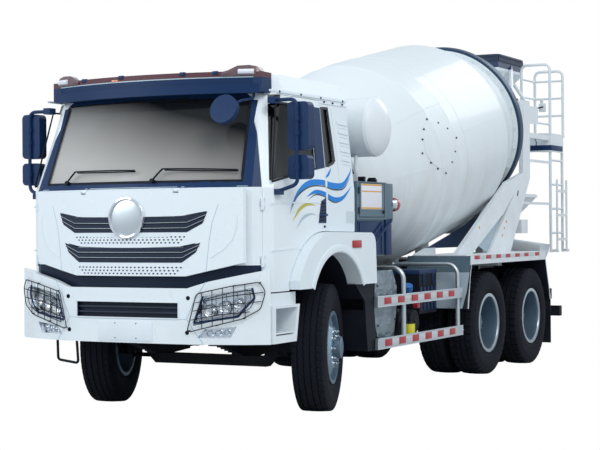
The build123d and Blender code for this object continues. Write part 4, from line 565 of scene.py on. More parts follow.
def new_tree(name, inputs):
    """An empty geometry tree with its named inputs."""
    tree = bpy.data.node_groups.new(name, "GeometryNodeTree")
    tree.interface.new_socket("Geometry", in_out="INPUT", socket_type="NodeSocketGeometry")
    for label, kind in inputs:
        tree.interface.new_socket(label, in_out="INPUT", socket_type=kind)
    tree.interface.new_socket("Geometry", in_out="OUTPUT", socket_type="NodeSocketGeometry")
    return tree, tree.nodes.new("NodeGroupInput"), tree.nodes.new("NodeGroupOutput")


def make_repeat_tree():
    """Puts a shape on every point of a mesh, turned by the point's own turn, and gives it a material."""
    tree, given, out = new_tree("repeat at places", [("Shape", "NodeSocketObject"), ("Size", "NodeSocketFloat"),
                                                     ("Material", "NodeSocketMaterial")])
    shape = add_node(tree, "GeometryNodeObjectInfo", {"Object": given.outputs["Shape"]}, transform_space="ORIGINAL")
    turn = add_node(tree, "GeometryNodeInputNamedAttribute", {"Name": "turn"}, data_type="FLOAT_VECTOR")
    euler = add_node(tree, "FunctionNodeEulerToRotation", {0: turn.outputs["Attribute"]})
    place = add_node(tree, "GeometryNodeInstanceOnPoints", {
        "Points": given.outputs["Geometry"], "Instance": shape.outputs["Geometry"], "Rotation": euler.outputs[0],
        "Scale": given.outputs["Size"]})
    solid = add_node(tree, "GeometryNodeRealizeInstances", {0: place.outputs["Instances"]})
    finish = add_node(tree, "GeometryNodeSetMaterial", {"Geometry": solid.outputs[0],
                                                        "Material": given.outputs["Material"]})
    fill(tree, out, {0: finish.outputs[0]})
    return tree


REPEAT_TREE = make_repeat_tree()


def shape_of(build):
    """A small shape about the origin, used only as the thing repeated."""
    bm = bmesh.new()
    build(bm)
    bmesh.ops.recalc_face_normals(bm, faces=bm.faces)
    mesh = bpy.data.meshes.new("shape")
    bm.to_mesh(mesh)
    bm.free()
    made = bpy.data.objects.new("shape", mesh)
    bpy.context.collection.objects.link(made)
    return made


def repeated(name, build, places, material, body="chassis", size=1.0):
    """Repeats a shape, whose outer end points along its own Z, at (place, direction) pairs: one plain mesh."""
    shape = shape_of(build)
    points = bpy.data.meshes.new(name + " places")
    points.from_pydata([p for p, _ in places], [], [])
    turns = points.attributes.new("turn", "FLOAT_VECTOR", "POINT")
    for k, (_, direction) in enumerate(places):
        turns.data[k].vector = direction.to_track_quat("Z", "Y").to_euler()
    carrier = bpy.data.objects.new(name, points)
    bpy.context.collection.objects.link(carrier)
    modifier = carrier.modifiers.new("repeat", "NODES")
    modifier.node_group = REPEAT_TREE
    values = {"Shape": shape, "Size": size, "Material": material}
    for item in REPEAT_TREE.interface.items_tree:
        if item.in_out == "INPUT" and item.name in values:
            modifier[item.identifier] = values[item.name]
    depsgraph = bpy.context.evaluated_depsgraph_get()
    mesh = bpy.data.meshes.new_from_object(carrier.evaluated_get(depsgraph))
    bpy.data.objects.remove(carrier)
    bpy.data.objects.remove(shape)
    piece = bpy.data.objects.new(name, mesh)
    bpy.context.collection.objects.link(piece)
    mesh.shade_smooth()
    mesh.set_sharp_from_angle(angle=radians(35))
    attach(piece, body)
    return piece


def bolt_shape(bm):
    """A hexagon head on its washer, 20 mm across, standing on z = 0."""
    rod(bm, Vector((0, 0, -0.002)), Vector((0, 0, 0.002)), 0.0125, 12)
    rod(bm, Vector((0, 0, 0.001)), Vector((0, 0, 0.010)), 0.0092, 6, 0.0086)


def rivet_shape(bm):
    """A low round head, 10 mm across."""
    rod(bm, Vector((0, 0, -0.001)), Vector((0, 0, 0.0018)), 0.005, 8, 0.0035)


def dimple_shape(bm):
    """A dark oval that stands for a hole, 16 by 11 mm."""
    ring = [Vector((0.008 * cos(pi * k / 5), 0.0055 * sin(pi * k / 5), -0.001)) for k in range(10)]
    slab(bm, ring, Vector((0, 0, 0.0016)))


def wheel_nut_shape(bm):
    """A wheel nut on its cone with the stud's end."""
    rod(bm, Vector((0, 0, -0.004)), Vector((0, 0, 0.006)), 0.019, 12, 0.016)
    rod(bm, Vector((0, 0, 0.005)), Vector((0, 0, 0.026)), 0.0145, 6)
    rod(bm, Vector((0, 0, 0.025)), Vector((0, 0, 0.036)), 0.0085, 8, 0.007)


# Wheels

TYRE = {"radius": 0.540, "half": 0.1445, "bead_x": 0.119, "bead_r": 0.2865, "lip_r": 0.312}
RIB_GROOVES = (-0.078, -0.027, 0.027, 0.078)
BLOCK_GROOVES = (-0.060, 0.0, 0.060)


def tyre_side():
    """The side wall from bead to shoulder, as (x, radius) with its moulded rings."""
    t = TYRE
    return [(t["bead_x"], t["bead_r"]), (t["bead_x"] + 0.004, t["lip_r"] + 0.004), (0.131, 0.330), (0.137, 0.352),
            (0.1395, 0.356), (0.1395, 0.362), (0.1375, 0.364), (0.1425, 0.392), (t["half"], 0.425), (0.1432, 0.455),
            (0.1432, 0.459), (0.1412, 0.461), (0.1370, 0.488), (0.1345, 0.500)]


def tread_profile(grooves, width, depth):
    """Tread points across the tyre: (x, radius, how far zigzag moves them, how deep shoulder cuts go)."""
    top = TYRE["radius"]
    points = [(-0.131, 0.512, 0, 1), (-0.126, 0.5275, 0, 1), (-0.117, 0.5345, 0, 1)]
    for x in grooves:
        crown = top - 0.004 * (abs(x) / 0.1) ** 2
        points += [(x - width / 2, crown, 1, 0), (x - width * 0.32, crown - depth, 1, 0),
                   (x + width * 0.32, crown - depth, 1, 0), (x + width / 2, crown, 1, 0)]
    return points + [(0.117, 0.5345, 0, 1), (0.126, 0.5275, 0, 1), (0.131, 0.512, 0, 1)]


def add_tyre(bm, centre, axis, blocky):
    """One tyre: moulded side walls and a tread with ribs in front or blocks behind."""
    side = tyre_side()
    grooves, width, depth = (BLOCK_GROOVES, 0.011, 0.015) if blocky else (RIB_GROOVES, 0.010, 0.013)
    profile = [(-x, r, 0, 0) for x, r in side] + tread_profile(grooves, width, depth)
    profile += [(x, r, 0, 0) for x, r in reversed(side)]
    pitches, shoulder_cut = (44, 0.011) if blocky else (56, 0.006)
    block_cut = 0.013
    steps = (0.0, 0.66, 0.72, 0.94)
    across, over = frame_of(axis)
    rings = []
    for pitch in range(pitches):
        for number, step in enumerate(steps):
            angle = 2 * pi * (pitch + step) / pitches
            out = across * cos(angle) + over * sin(angle)
            zigzag = 0.0035 * (1 if number in (0, 3) else -1)
            cut = number >= 2
            ring = []
            for x, r, sways, shoulder in profile:
                if cut and shoulder:
                    r -= shoulder_cut
                if cut and blocky and sways and abs(x) > 0.03:
                    r = min(r, TYRE["radius"] - block_cut)
                ring.append(bm.verts.new(centre + axis * (x + zigzag * sways) + out * r))
            rings.append(ring)
    count = len(profile)
    for k, here in enumerate(rings):
        there = rings[(k + 1) % len(rings)]
        for j in range(count):
            n = (j + 1) % count
            bm.faces.new((here[j], there[j], there[n], here[n]))


def front_wheel_place(side):
    """Centre and outward axis of a front wheel, turned to the truck's left."""
    turn = radians(STEER)
    reach = FRONT_TRACK / 2 - KINGPIN_X
    axis = Vector((cos(turn), sin(turn), 0))
    return at(side * KINGPIN_X, 0, AXLE_Z) + axis * (side * reach), axis * side


def ring_places(centre, axis, radius, count):
    """Places round a circle, each with the way that the repeated shape points."""
    return [(centre + out * radius, axis) for out in spokes(axis, count)]


def valve_stem(bm, centre, axis, radius):
    """A bent tyre valve by the rim's flange."""
    over = frame_of(axis)[1]
    foot = centre + over * radius
    tube(bm, [foot, foot + axis * 0.03, foot + axis * 0.07 + over * 0.012], 0.004, 0.01, 6)


def wheel_disc(bm, centre, axis):
    """The front wheel's bulged disc, from the rim's well out to the ring of nuts."""
    profile = [(0.096, 0.266), (0.082, 0.262), (0.070, 0.252), (0.064, 0.240), (0.070, 0.231), (0.128, 0.178),
               (0.139, 0.171), (0.141, 0.166), (0.141, 0.108), (0.137, 0.104), (0.128, 0.101), (0.123, 0.104),
               (0.123, 0.166), (0.058, 0.228), (0.052, 0.240), (0.062, 0.262), (0.080, 0.270)]
    revolved(bm, profile, centre, axis, 72)


def disc_holes(centre, axis):
    """Places of the hand holes on the disc's cone."""
    return [(centre + axis * 0.0985 + out * 0.205, (axis * 0.053 + out * 0.058).normalized())
            for out in spokes(axis, 10, pi / 10)]


for side, name in SIDES:
    body = f"front_wheel_{name}"
    centre, outward = front_wheel_place(side)
    tyre = new_piece(f"front_tread_tyre_{name}", lambda bm: add_tyre(bm, centre, outward, False), TYRE_RUBBER, body,
                     smooth=28)
    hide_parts(f"front_tyre_{name}")
    hub_face = centre + outward * 0.052
    repeated(f"front_wheel_nuts_{name}", wheel_nut_shape, ring_places(centre + outward * 0.140, outward, 0.138, 10),
             BRIGHT_STEEL, body)
    new_piece(f"front_wheel_disc_{name}", lambda bm: wheel_disc(bm, centre, outward), DISC_STEEL, body)
    repeated(f"front_disc_holes_{name}", dimple_shape, disc_holes(centre, outward), CHASSIS_BLACK, body, size=2.3)
    repeated(f"front_hub_bolts_{name}", bolt_shape, ring_places(hub_face + outward * 0.131, outward, 0.080, 10),
             BRIGHT_STEEL, body)
    new_piece(f"front_valve_{name}", lambda bm: valve_stem(bm, centre + outward * 0.06, outward, 0.262), BRIGHT_STEEL,
              body)


def rim_flange_ring(bm, centre, axis):
    """The bright lip of a rear rim outside the tyre's bead."""
    profile = [(0.121, 0.272), (0.1335, 0.276), (0.1345, 0.305), (0.1325, 0.3085), (0.121, 0.3085)]
    revolved(bm, profile, centre, axis, 64)


for number, y in enumerate(REAR_AXLES, start=1):
    for side, name in SIDES:
        body = f"rear_wheels_{name}_{number}"
        middle = at(side * REAR_TRACK / 2, y, AXLE_Z)
        outward = Vector((side, 0, 0))
        inner, outer = middle - outward * (TWIN_SPACING / 2), middle + outward * (TWIN_SPACING / 2)

        def twin(bm):
            """Both tyres of a twin wheel."""
            add_tyre(bm, inner, outward, True)
            add_tyre(bm, outer, outward, True)

        tyres = new_piece(f"rear_tread_tyres_{name}_{number}", twin, TYRE_RUBBER, body, smooth=28)
        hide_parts(f"rear_tyres_{name}_{number}")
        new_piece(f"rear_rim_lip_{name}_{number}", lambda bm: rim_flange_ring(bm, outer, outward), BRIGHT_STEEL, body)
        repeated(f"rear_wheel_nuts_{name}_{number}", wheel_nut_shape,
                 ring_places(middle + outward * 0.019, outward, 0.142, 10), BRIGHT_STEEL, body)
        repeated(f"rear_hub_bolts_{name}_{number}", bolt_shape,
                 ring_places(middle + outward * 0.178, outward, 0.085, 8),
                 BRIGHT_STEEL, body)


# Cab surfaces

LID = {"middle": -1.318, "radius": 3.309, "thick": 0.042}
BUMPER_FRONT = ((0.0, -1.335), (0.300, -1.335), (0.610, -1.321), (1.000, -1.205), (1.180, -1.105), (1.200, -1.090))


def lid_y(x):
    """The lid's outer face at a distance from the middle."""
    return LID["middle"] + LID["radius"] - sqrt(LID["radius"] ** 2 - x * x)


def front_y(x, z):
    """The cab's front above the waist, where it leans back."""
    waist = -1.265 + 0.175 * (x / 1.020) ** 2
    roof = -0.960 + 0.160 * (x / 0.945) ** 2
    return waist + (roof - waist) * min(max((z - WAIST_Z) / LEAN_HEIGHT, 0.0), 1.0)


def side_x(z):
    """The cab's side: upright to the waist, then leaning in."""
    return SIDE_X - LEAN_IN * max(z - WAIST_Z, 0.0) / LEAN_HEIGHT


def bumper_y(x):
    """The bumper's face at a distance from the middle."""
    x = abs(x)
    for (x0, y0), (x1, y1) in zip(BUMPER_FRONT, BUMPER_FRONT[1:]):
        if x <= x1:
            return y0 + (y1 - y0) * (x - x0) / (x1 - x0)
    return BUMPER_FRONT[-1][1]


def way_along(line, k, surface):
    """Which way a line on a face runs at its k-th point."""
    return (surface(line[min(k + 1, len(line) - 1)][:2])[0] - surface(line[max(k - 1, 0)][:2])[0]).normalized()


def strip_on(bm, line, surface, width, thick, steps=12):
    """A raised strip along a line of points on a face: surface(point) gives the place and the way out."""
    points = [[a + (b - a) * step / steps for a, b in zip(start, end)]
              for start, end in zip(line, line[1:]) for step in range(steps)] + [list(line[-1])]
    rings = []
    for k, point in enumerate(points):
        place, out = surface(point)
        half = out.cross(way_along(points, k, surface)) * width / 2
        low, high = place - out * 0.002, place + out * thick
        rings.append([low + half, low - half, high - half, high + half])
    skin(bm, rings)


def stand_off(placed, distance):
    """A place on a face, moved out along its way out."""
    place, out = placed
    return place + out * distance


def on_lid(point):
    """(x, z) on the lid, with the way out of it."""
    x, z = point
    y = lid_y(x)
    out = Vector((x, y - (LID["middle"] + LID["radius"]), 0)).normalized()
    return at(x, y, z), out


def on_bumper(point):
    """(x, z) on the bumper's face."""
    x, z = point
    slope = (bumper_y(abs(x) + 0.01) - bumper_y(max(abs(x) - 0.01, 0))) / 0.02
    return at(x, bumper_y(x), z), Vector((slope if x > 0 else -slope, -1, 0)).normalized()


def on_side(point):
    """(y, z) on the cab's left side."""
    y, z = point
    lean = 0.095 if z > WAIST_Z else 0.0
    return at(side_x(z), y, z), Vector((1, 0, lean)).normalized()


def on_front(point):
    """(x, z) on the cab's front above the waist."""
    x, z = point
    here = at(x, front_y(x, z), z)
    right = at(x + 0.01, front_y(x + 0.01, z), z) - here
    up = at(x, front_y(x, z + 0.01), z + 0.01) - here
    return here, right.cross(up).normalized()


# Front lid

def lid_backing(bm):
    """A dark core seen through both intakes, bowed like the lid."""
    back = LID["thick"] + 0.0005
    skin(bm, [[at(x, lid_y(x) + back + dy, z) for dy, z in ((0, 1.275), (0, 1.705), (0.003, 1.705), (0.003, 1.275))]
              for x in (-0.74 + 1.48 * k / 24 for k in range(25))])


new_piece("intake_mesh", lid_backing, DARK_MESH, "front_lid")

UPPER_ROWS = [(1.488, 0.512), (1.465, 0.488), (1.442, 0.462)]
LOWER_ROWS = [(1.247, 0.482), (1.222, 0.455), (1.198, 0.430)]
HOLE_PITCH = 0.0365


def perforations():
    """Rows of oval holes under each intake: the upper block opens round the emblem in its top row."""
    places = []
    for rows, gap in ((UPPER_ROWS, 0.145), (LOWER_ROWS, 0.0)):
        for row, (z, reach) in enumerate(rows):
            count = int(2 * reach / HOLE_PITCH)
            for k in range(count + 1):
                x = -reach + 2 * reach * k / count
                if gap and row == 0 and abs(x) < gap:
                    continue
                places.append(on_lid((x, z)))
    return places


repeated("lid_perforations", dimple_shape, perforations(), DARK_MESH, "front_lid", size=1.15)


def lid_seams(bm):
    """The dark joints between the lid's middle panel and its two corner panels."""
    for side in (1, -1):
        strip_on(bm, [(side * 0.792, 1.742), (side * 0.742, 1.60), (side * 0.715, 1.45), (side * 0.690, 1.215)],
                 on_lid, 0.005, 0.0006)


def lid_creases(bm):
    """Raised lines pressed into the corner panels."""
    for side in (1, -1):
        strip_on(bm, [(side * 0.936, 1.66), (side * 0.928, 1.56), (side * 0.900, 1.47), (side * 0.83, 1.39),
                      (side * 0.725, 1.325)],
                 on_lid, 0.010, 0.0035)


UPPER_INLAY = [(0.0, 1.524), (0.535, 1.524), (0.664, 1.592), (0.704, 1.686), (0.515, 1.652), (0.0, 1.646)]
LOWER_INLAY = [(0.0, 1.285), (0.490, 1.285), (0.605, 1.363), (0.646, 1.442), (0.495, 1.405), (0.0, 1.403)]
UPPER_LINES = [[(0.0, 1.597), (0.535, 1.603), (0.690, 1.660)], [(0.0, 1.556), (0.530, 1.560), (0.676, 1.622)]]
LOWER_LINES = [[(0.0, 1.367), (0.497, 1.367), (0.636, 1.423)], [(0.0, 1.325), (0.493, 1.325), (0.616, 1.390)]]


def along_outline(outline, x):
    """The lowest and highest place of a half outline at a distance from the middle."""
    heights = []
    for (x0, z0), (x1, z1) in zip(outline, outline[1:]):
        if min(x0, x1) <= x <= max(x0, x1) and x0 != x1:
            heights.append(z0 + (z1 - z0) * (x - x0) / (x1 - x0))
    return min(heights), max(heights)


def bowed_inlay(bm, outline, proud):
    """A thin plate in an intake's form, bowed like the lid and standing a little proud of it."""
    end = outline[3][0]
    marks = sorted({x for x, _ in outline} | {0.03 * k for k in range(24) if 0.03 * k < end})
    marks = [x for x in marks if x < end - 1e-6] + [end - 0.0005]
    for side in (1, -1):
        rings = []
        for x in marks:
            low, high = along_outline(outline, x)
            rings.append([stand_off(on_lid((side * x, z)), d)
                          for z, d in ((low, -0.004), (high, -0.004), (high, proud), (low, proud))])
        skin(bm, rings)


def slat_lines(bm, drop, width, thick):
    """Lines along the slats, bent up at their ends like the intakes."""
    for line in UPPER_LINES + LOWER_LINES:
        for side in (1, -1):
            strip_on(bm, [(side * x, z - drop) for x, z in line], on_lid, width, thick, 8)


def white_filling(bm):
    """The white panel between the intakes, carried over the opening's lower corner."""
    bowed_inlay(bm, [(0.0, 1.486), (0.20, 1.486), (0.38, 1.488), (0.400, 1.500), (0.39, 1.5235), (0.0, 1.5235)],
                0.0012)


new_piece("upper_intake_mesh", lambda bm: bowed_inlay(bm, UPPER_INLAY, 0.0016), DARK_MESH, "front_lid")
new_piece("lower_intake_mesh", lambda bm: bowed_inlay(bm, LOWER_INLAY, 0.0016), DARK_MESH, "front_lid")
new_piece("slat_lips", lambda bm: slat_lines(bm, 0.0065, 0.009, 0.0036), BLACK_PLASTIC, "front_lid")
new_piece("slat_bright_lines", lambda bm: slat_lines(bm, 0.0, 0.0042, 0.0045), BRIGHT_STEEL, "front_lid")
new_piece("lid_filling", white_filling, WHITE_PAINT, "front_lid")
new_piece("lid_panel_joints", lid_seams, DECAL_GREY, "front_lid")
new_piece("lid_creases", lid_creases, WHITE_PAINT, "front_lid")


EMBLEM_CENTRE = at(0, LID["middle"] - 0.006, 1.640)


def emblem_ring(bm):
    """The chrome rim round the bare emblem disc."""
    profile = [(0.000, 0.168), (-0.010, 0.165), (-0.013, 0.155), (-0.010, 0.146), (0.000, 0.143)]
    revolved(bm, profile, EMBLEM_CENTRE, Y_AXIS, 64)


def emblem_dish(bm):
    """The emblem's plain domed face."""
    profile = [(0.0, 0.144), (-0.003, 0.130), (-0.0075, 0.085), (-0.0095, 0.040), (-0.010, 0.0001), (0.0, 0.0001)]
    revolved(bm, profile, EMBLEM_CENTRE, Y_AXIS, 64)


new_piece("emblem_ring", emblem_ring, CHROME, "front_lid")
new_piece("emblem_face", emblem_dish, EMBLEM_FACE, "front_lid")


# Bumper

def bumper_backing(bm):
    """Dark mesh behind the bumper's intake."""
    block(bm, (-0.495, 0.495), (-1.286, -1.280), (0.835, 0.985))


def bumper_seams(bm):
    """Joints between the bumper's middle and its ends."""
    for side in (1, -1):
        strip_on(bm, [(side * 0.712, 1.135), (side * 0.640, 1.02), (side * 0.556, 0.845), (side * 0.690, 0.655)],
                 on_bumper, 0.006, 0.0008)
        strip_on(bm, [(side * 0.556, 0.845), (side * 0.45, 0.838), (0.0, 0.838)], on_bumper, 0.004, 0.0008)


def number_plate(bm):
    """The blank plate on the bumper."""
    block(bm, (-0.262, 0.246), (-1.3405, -1.3345), (0.664, 0.824), 0.002)


def intake_frame(bm):
    """A lip round the bumper's intake."""
    for side in (1, -1):
        for z in (0.846, 0.976):
            strip_on(bm, [(0.0, z), (side * 0.484, z)], on_bumper, 0.010, 0.004)
        strip_on(bm, [(side * 0.484, 0.846), (side * 0.484, 0.976)], on_bumper, 0.010, 0.004)


new_piece("bumper_mesh", bumper_backing, DARK_MESH)
new_piece("bumper_joints", bumper_seams, DECAL_GREY)
new_piece("bumper_intake_lip", intake_frame, WHITE_PAINT)
new_piece("blank_plate", number_plate, WHITE_PAINT)
repeated("plate_screws", rivet_shape, [(at(x, -1.3405, z), -Y_AXIS) for x in (-0.105, 0.095) for z in (0.685, 0.803)],
         CAST_METAL, size=1.3)


def hole_ring(bm, x, z):
    """A rubber ring round one of the bumper's holes with the bolt's head inside."""
    place, out = on_bumper((x, z))
    revolved(bm, [(0.001, 0.0175), (-0.003, 0.0165), (-0.003, 0.0125), (0.006, 0.0125), (0.006, 0.0175)], place, -out,
             20)
    rod(bm, place - out * 0.02, place - out * 0.006, 0.013, 16)


def bumper_holes(bm):
    """The plugs in the bumper's four holes."""
    for x, z in ((0.570, 1.010), (-0.570, 1.010), (0.560, 0.740), (-0.560, 0.740)):
        hole_ring(bm, x, z)


new_piece("bumper_hole_plugs", bumper_holes, CHASSIS_BLACK)


# Lamps in the bumper: outlines of (x, z) as seen from the front

HEADLAMP = [(0.620, 0.815), (0.960, 0.868), (1.075, 1.010), (1.060, 1.090), (0.690, 1.025)]
FOG_LAMP = [(0.640, 0.700), (0.900, 0.700), (0.950, 0.790), (0.700, 0.768)]


def middle_of(outline):
    """The mean of an outline's corners."""
    return sum(x for x, _ in outline) / len(outline), sum(z for _, z in outline) / len(outline)


def shrunk(outline, by):
    """An outline drawn in towards its middle."""
    cx, cz = middle_of(outline)
    return [(cx + (x - cx) * (1 - by), cz + (z - cz) * (1 - by)) for x, z in outline]


def fine_outline(outline, steps=6):
    """An outline with its sides divided, so that it can follow the bumper's bend."""
    points = []
    for a, b in zip(outline, outline[1:] + outline[:1]):
        points += [(a[0] + (b[0] - a[0]) * k / steps, a[1] + (b[1] - a[1]) * k / steps) for k in range(steps)]
    return points


def lamp_skin(bm, outline, sink, thick):
    """A cover over a lamp's outline that follows the bumper's bend, sunk by a little."""
    edge = fine_outline(outline)
    cx, cz = middle_of(outline)

    def place(side, x, z, share, depth):
        """A point of the outline, drawn in by its share and sunk."""
        x, z = cx + (x - cx) * share, cz + (z - cz) * share
        return at(side * x, bumper_y(x) + depth, z)

    for side in (1, -1):
        rims = []
        for depth in (sink, sink + thick):
            rings = skin(bm, [[place(side, x, z, share, depth) for x, z in edge] for share in (1.0, 0.66, 0.33)],
                         "open")
            middle = bm.verts.new(place(side, cx, cz, 1.0, depth))
            for a, b in zip(rings[-1], rings[-1][1:] + rings[-1][:1]):
                bm.faces.new((a, b, middle))
            rims.append(rings[0])
        low, high = rims
        for k in range(len(edge)):
            n = (k + 1) % len(edge)
            bm.faces.new((low[k], low[n], high[n], high[k]))


BOWLS = ((0.735, 0.905, 0.058), (0.850, 0.935, 0.055), (0.955, 0.965, 0.048), (0.735, 0.735, 0.026),
         (0.800, 0.737, 0.026), (0.865, 0.742, 0.024))


def lamp_bowls(bm):
    """Round reflector bowls behind the headlamp's cover and the bulbs' caps in them."""
    for side in (1, -1):
        for x, z, r in BOWLS:
            slope = (bumper_y(x + 0.01) - bumper_y(x - 0.01)) / 0.02
            out = Vector((side * slope, -1, 0)).normalized()
            centre = at(side * x, bumper_y(x), z) - out * 0.050
            revolved(bm, [(0.0, 0.0001), (0.004, r * 0.45), (0.016, r * 0.8), (0.032, r), (0.032, r * 0.93),
                          (0.013, r * 0.74), (0.001, r * 0.4), (-0.003, 0.0001)], centre, out, 28)
            rod(bm, centre, centre + out * 0.026, r * 0.22, 14, r * 0.14)


def lamp_strips(bm):
    """White light strips along the headlamp's lower and outer edge."""
    for side in (1, -1):
        path = [(0.660, 0.845), (0.950, 0.890), (1.040, 1.000), (1.030, 1.062)]
        points = [at(side * x, bumper_y(x) + 0.012, z) for x, z in path]
        tube(bm, points, 0.007, 0.04, 8)


def lamp_trim(bm):
    """The dark lip along each headlamp's lower and outer edge and its inner end."""
    for side in (1, -1):
        for a, b in ((0, 1), (1, 2), (2, 3), (0, 4)):
            strip_on(bm, [(side * x, z) for x, z in (HEADLAMP[a], HEADLAMP[b])], on_bumper, 0.016, 0.003, 6)


def both_lamps(shrink, sink, thick):
    """Builds a skin over the headlamps and one over the fog lamps: (headlamp, fog lamp) pairs of values."""
    def made(bm):
        """Both skins."""
        for outline, by, depth in zip((HEADLAMP, FOG_LAMP), shrink, sink):
            lamp_skin(bm, shrunk(outline, by), depth, thick)
    return made


new_piece("lamp_trim", lamp_trim, NAVY_PLASTIC)
headlamp_shell = new_piece("lamp_reflectors", both_lamps((0.01, 0.02), (0.052, 0.045), 0.004), REFLECTOR)
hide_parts("headlamps")
new_piece("lamp_bowls", lamp_bowls, CHROME)
new_piece("lamp_light_strips", lamp_strips, LABEL_WHITE)
new_piece("lamp_covers", both_lamps((0.004, 0.004), (0.001, 0.001), 0.003), LAMP_GLASS)


def lamp_walls(bm):
    """The side walls round the lamps' insides."""
    for outline in (HEADLAMP, FOG_LAMP):
        edge, inner = fine_outline(shrunk(outline, 0.006)), fine_outline(shrunk(outline, 0.035))
        layers = ((edge, 0.005), (edge, 0.056), (inner, 0.056), (inner, 0.005))
        for side in (1, -1):
            skin(bm, [[at(side * x, bumper_y(x) + depth, z) for x, z in line] for line, depth in layers], "joined")


new_piece("lamp_side_walls", lamp_walls, REFLECTOR)


def guard_wire(bm, side, points, stand, radius=0.0035):
    """One wire of a headlamp guard, standing off the bumper."""
    tube(bm, [at(side * x, bumper_y(x) - stand, z) for x, z in points], radius, 0.03, 6)


def lamp_guards(bm):
    """The wire guard before each headlamp: an outer loop, an inner loop and crossing wires."""
    for side in (1, -1):
        guard_wire(bm, side, [(0.600, 0.750), (0.575, 0.760), (0.650, 1.045), (0.900, 1.100), (1.120, 1.135),
                              (1.160, 1.060), (1.125, 0.925), (1.000, 0.850), (0.600, 0.750)], 0.022, 0.0042)
        guard_wire(bm, side, [(0.630, 0.800), (0.700, 1.000), (0.900, 1.050), (1.070, 1.075), (1.095, 1.020),
                              (1.060, 0.935), (0.960, 0.875), (0.630, 0.800)], 0.026)
        for x, low, high in ((0.690, 0.775, 1.052), (0.770, 0.794, 1.070), (0.850, 0.813, 1.088),
                             (0.935, 0.834, 1.106), (1.020, 0.862, 1.120)):
            guard_wire(bm, side, [(x, low), (x, high)], 0.020)
        for z, left, right, rise in ((0.860, 0.603, 1.050, 0.045), (0.930, 0.620, 1.130, 0.055),
                                     (0.995, 0.640, 1.145, 0.060)):
            guard_wire(bm, side, [(left, z - 0.02), ((left + right) / 2, z + rise / 2), (right, z + rise)], 0.018)
        for x, z in ((0.680, 1.052), (0.935, 1.108), (1.118, 1.130), (1.010, 0.855), (0.800, 0.800), (0.585, 0.757)):
            start = at(side * x, bumper_y(x) - 0.024, z)
            rod(bm, start, at(side * x, bumper_y(x) + 0.004, z), 0.005, 8)


new_piece("headlamp_wire_guards", lamp_guards, CHASSIS_BLACK)


def under_bumper_loop(bm):
    """The bent wire step under the bumper's right end."""
    tube(bm, [at(-0.800, -1.16, 0.66), at(-0.795, -1.16, 0.475), at(-0.585, -1.17, 0.452), at(-0.600, -1.17, 0.66)],
         0.011, 0.03, 10)


new_piece("wire_step", under_bumper_loop, CHASSIS_BLACK)


# Windscreen, visor and wipers

def wiper(bm, pivot, elbow, tip):
    """One wiper: its arm from the pivot, its elbow and the blade on the glass."""
    a, b, c = (at(*p) for p in (pivot, elbow, tip))
    rod(bm, a + Vector((0, 0.03, -0.01)), a + Vector((0, -0.022, 0.004)), 0.017, 14)
    tube(bm, [a + Vector((0, -0.016, 0)), a.lerp(b, 0.6) + Vector((0, -0.024, 0)), b + Vector((0, -0.020, 0))], 0.0075,
         0.05, 8)
    tube(bm, [b + Vector((0, -0.020, 0)), b.lerp(c, 0.5) + Vector((0, -0.020, 0.004)), c + Vector((0, -0.014, 0))],
         0.0058, 0.20, 8)
    near, far = b.lerp(c, 0.02), c
    for k in range(8):
        start, end = near.lerp(far, k / 8), near.lerp(far, (k + 1) / 8)
        rod(bm, start + Vector((0, -0.006, -0.010)), end + Vector((0, -0.006, -0.010)), 0.0055, 6)


def wipers(bm):
    """Both wipers, parked over the cowl."""
    wiper(bm, (-0.675, -1.172, 1.934), (-0.593, -1.160, 2.026), (0.027, -1.222, 2.022))
    wiper(bm, (0.199, -1.242, 1.934), (0.283, -1.206, 2.029), (0.901, -1.085, 2.012))


new_piece("wipers", wipers, BLACK_PLASTIC)


def screen_border(bm):
    """The dark printed border round the windscreen."""
    corners = [(-0.933, 1.925), (0.933, 1.925), (0.880, 2.598), (-0.880, 2.598)]
    strip_on(bm, corners + [corners[0]], on_front, 0.022, 0.0014, 16)


def cowl_line(bm):
    """The joint between the navy cowl and the white panel under it."""
    strip_on(bm, [(-0.985, 1.882), (0.985, 1.882)], on_front, 0.005, 0.0008, 30)


new_piece("windscreen_border", screen_border, BLACK_PLASTIC)
new_piece("cowl_joint", cowl_line, DECAL_GREY)


# Doors and cab sides

def side_line(bm, line, width, thick):
    """A raised line on the cab's side."""
    strip_on(bm, line, on_side, width, thick, 6)


def door_creases(bm):
    """The handle's recess line and the pressed line lower down the door."""
    side_line(bm, [(-1.000, 1.745), (-0.800, 1.752), (-0.30, 1.760), (-0.10, 1.757)], 0.012, 0.004)
    side_line(bm, [(-1.000, 1.375), (-0.600, 1.388), (-0.10, 1.380)], 0.012, 0.004)


def door_frame_strip(bm):
    """The rubber round the door's window."""
    corners = [(-0.993, 1.917), (-0.207, 2.040), (-0.197, 2.553), (-0.808, 2.553)]
    side_line(bm, corners + [corners[0]], 0.016, 0.003)


def door_handle(bm):
    """The door's pull handle with its two feet, and the lock below it."""
    y0, y1, z = -0.178, -0.072, 1.655
    x = side_x(z)
    tube(bm, [at(x, y0, z), at(x + 0.030, y0 + 0.02, z), at(x + 0.030, y1 - 0.02, z + 0.003), at(x, y1, z + 0.003)],
         0.011, 0.018, 10)
    rod(bm, at(x - 0.002, -0.090, 1.560), at(x + 0.010, -0.090, 1.560), 0.010, 16)


for side, name in SIDES:
    body = "door_" + name
    new_piece("door_pressed_lines_" + name, turned_over(door_creases, side), WHITE_PAINT, body)
    new_piece("door_window_rubber_" + name, turned_over(door_frame_strip, side), BLACK_PLASTIC, body)
    new_piece("door_handle_" + name, turned_over(door_handle, side), NAVY_PLASTIC, body)


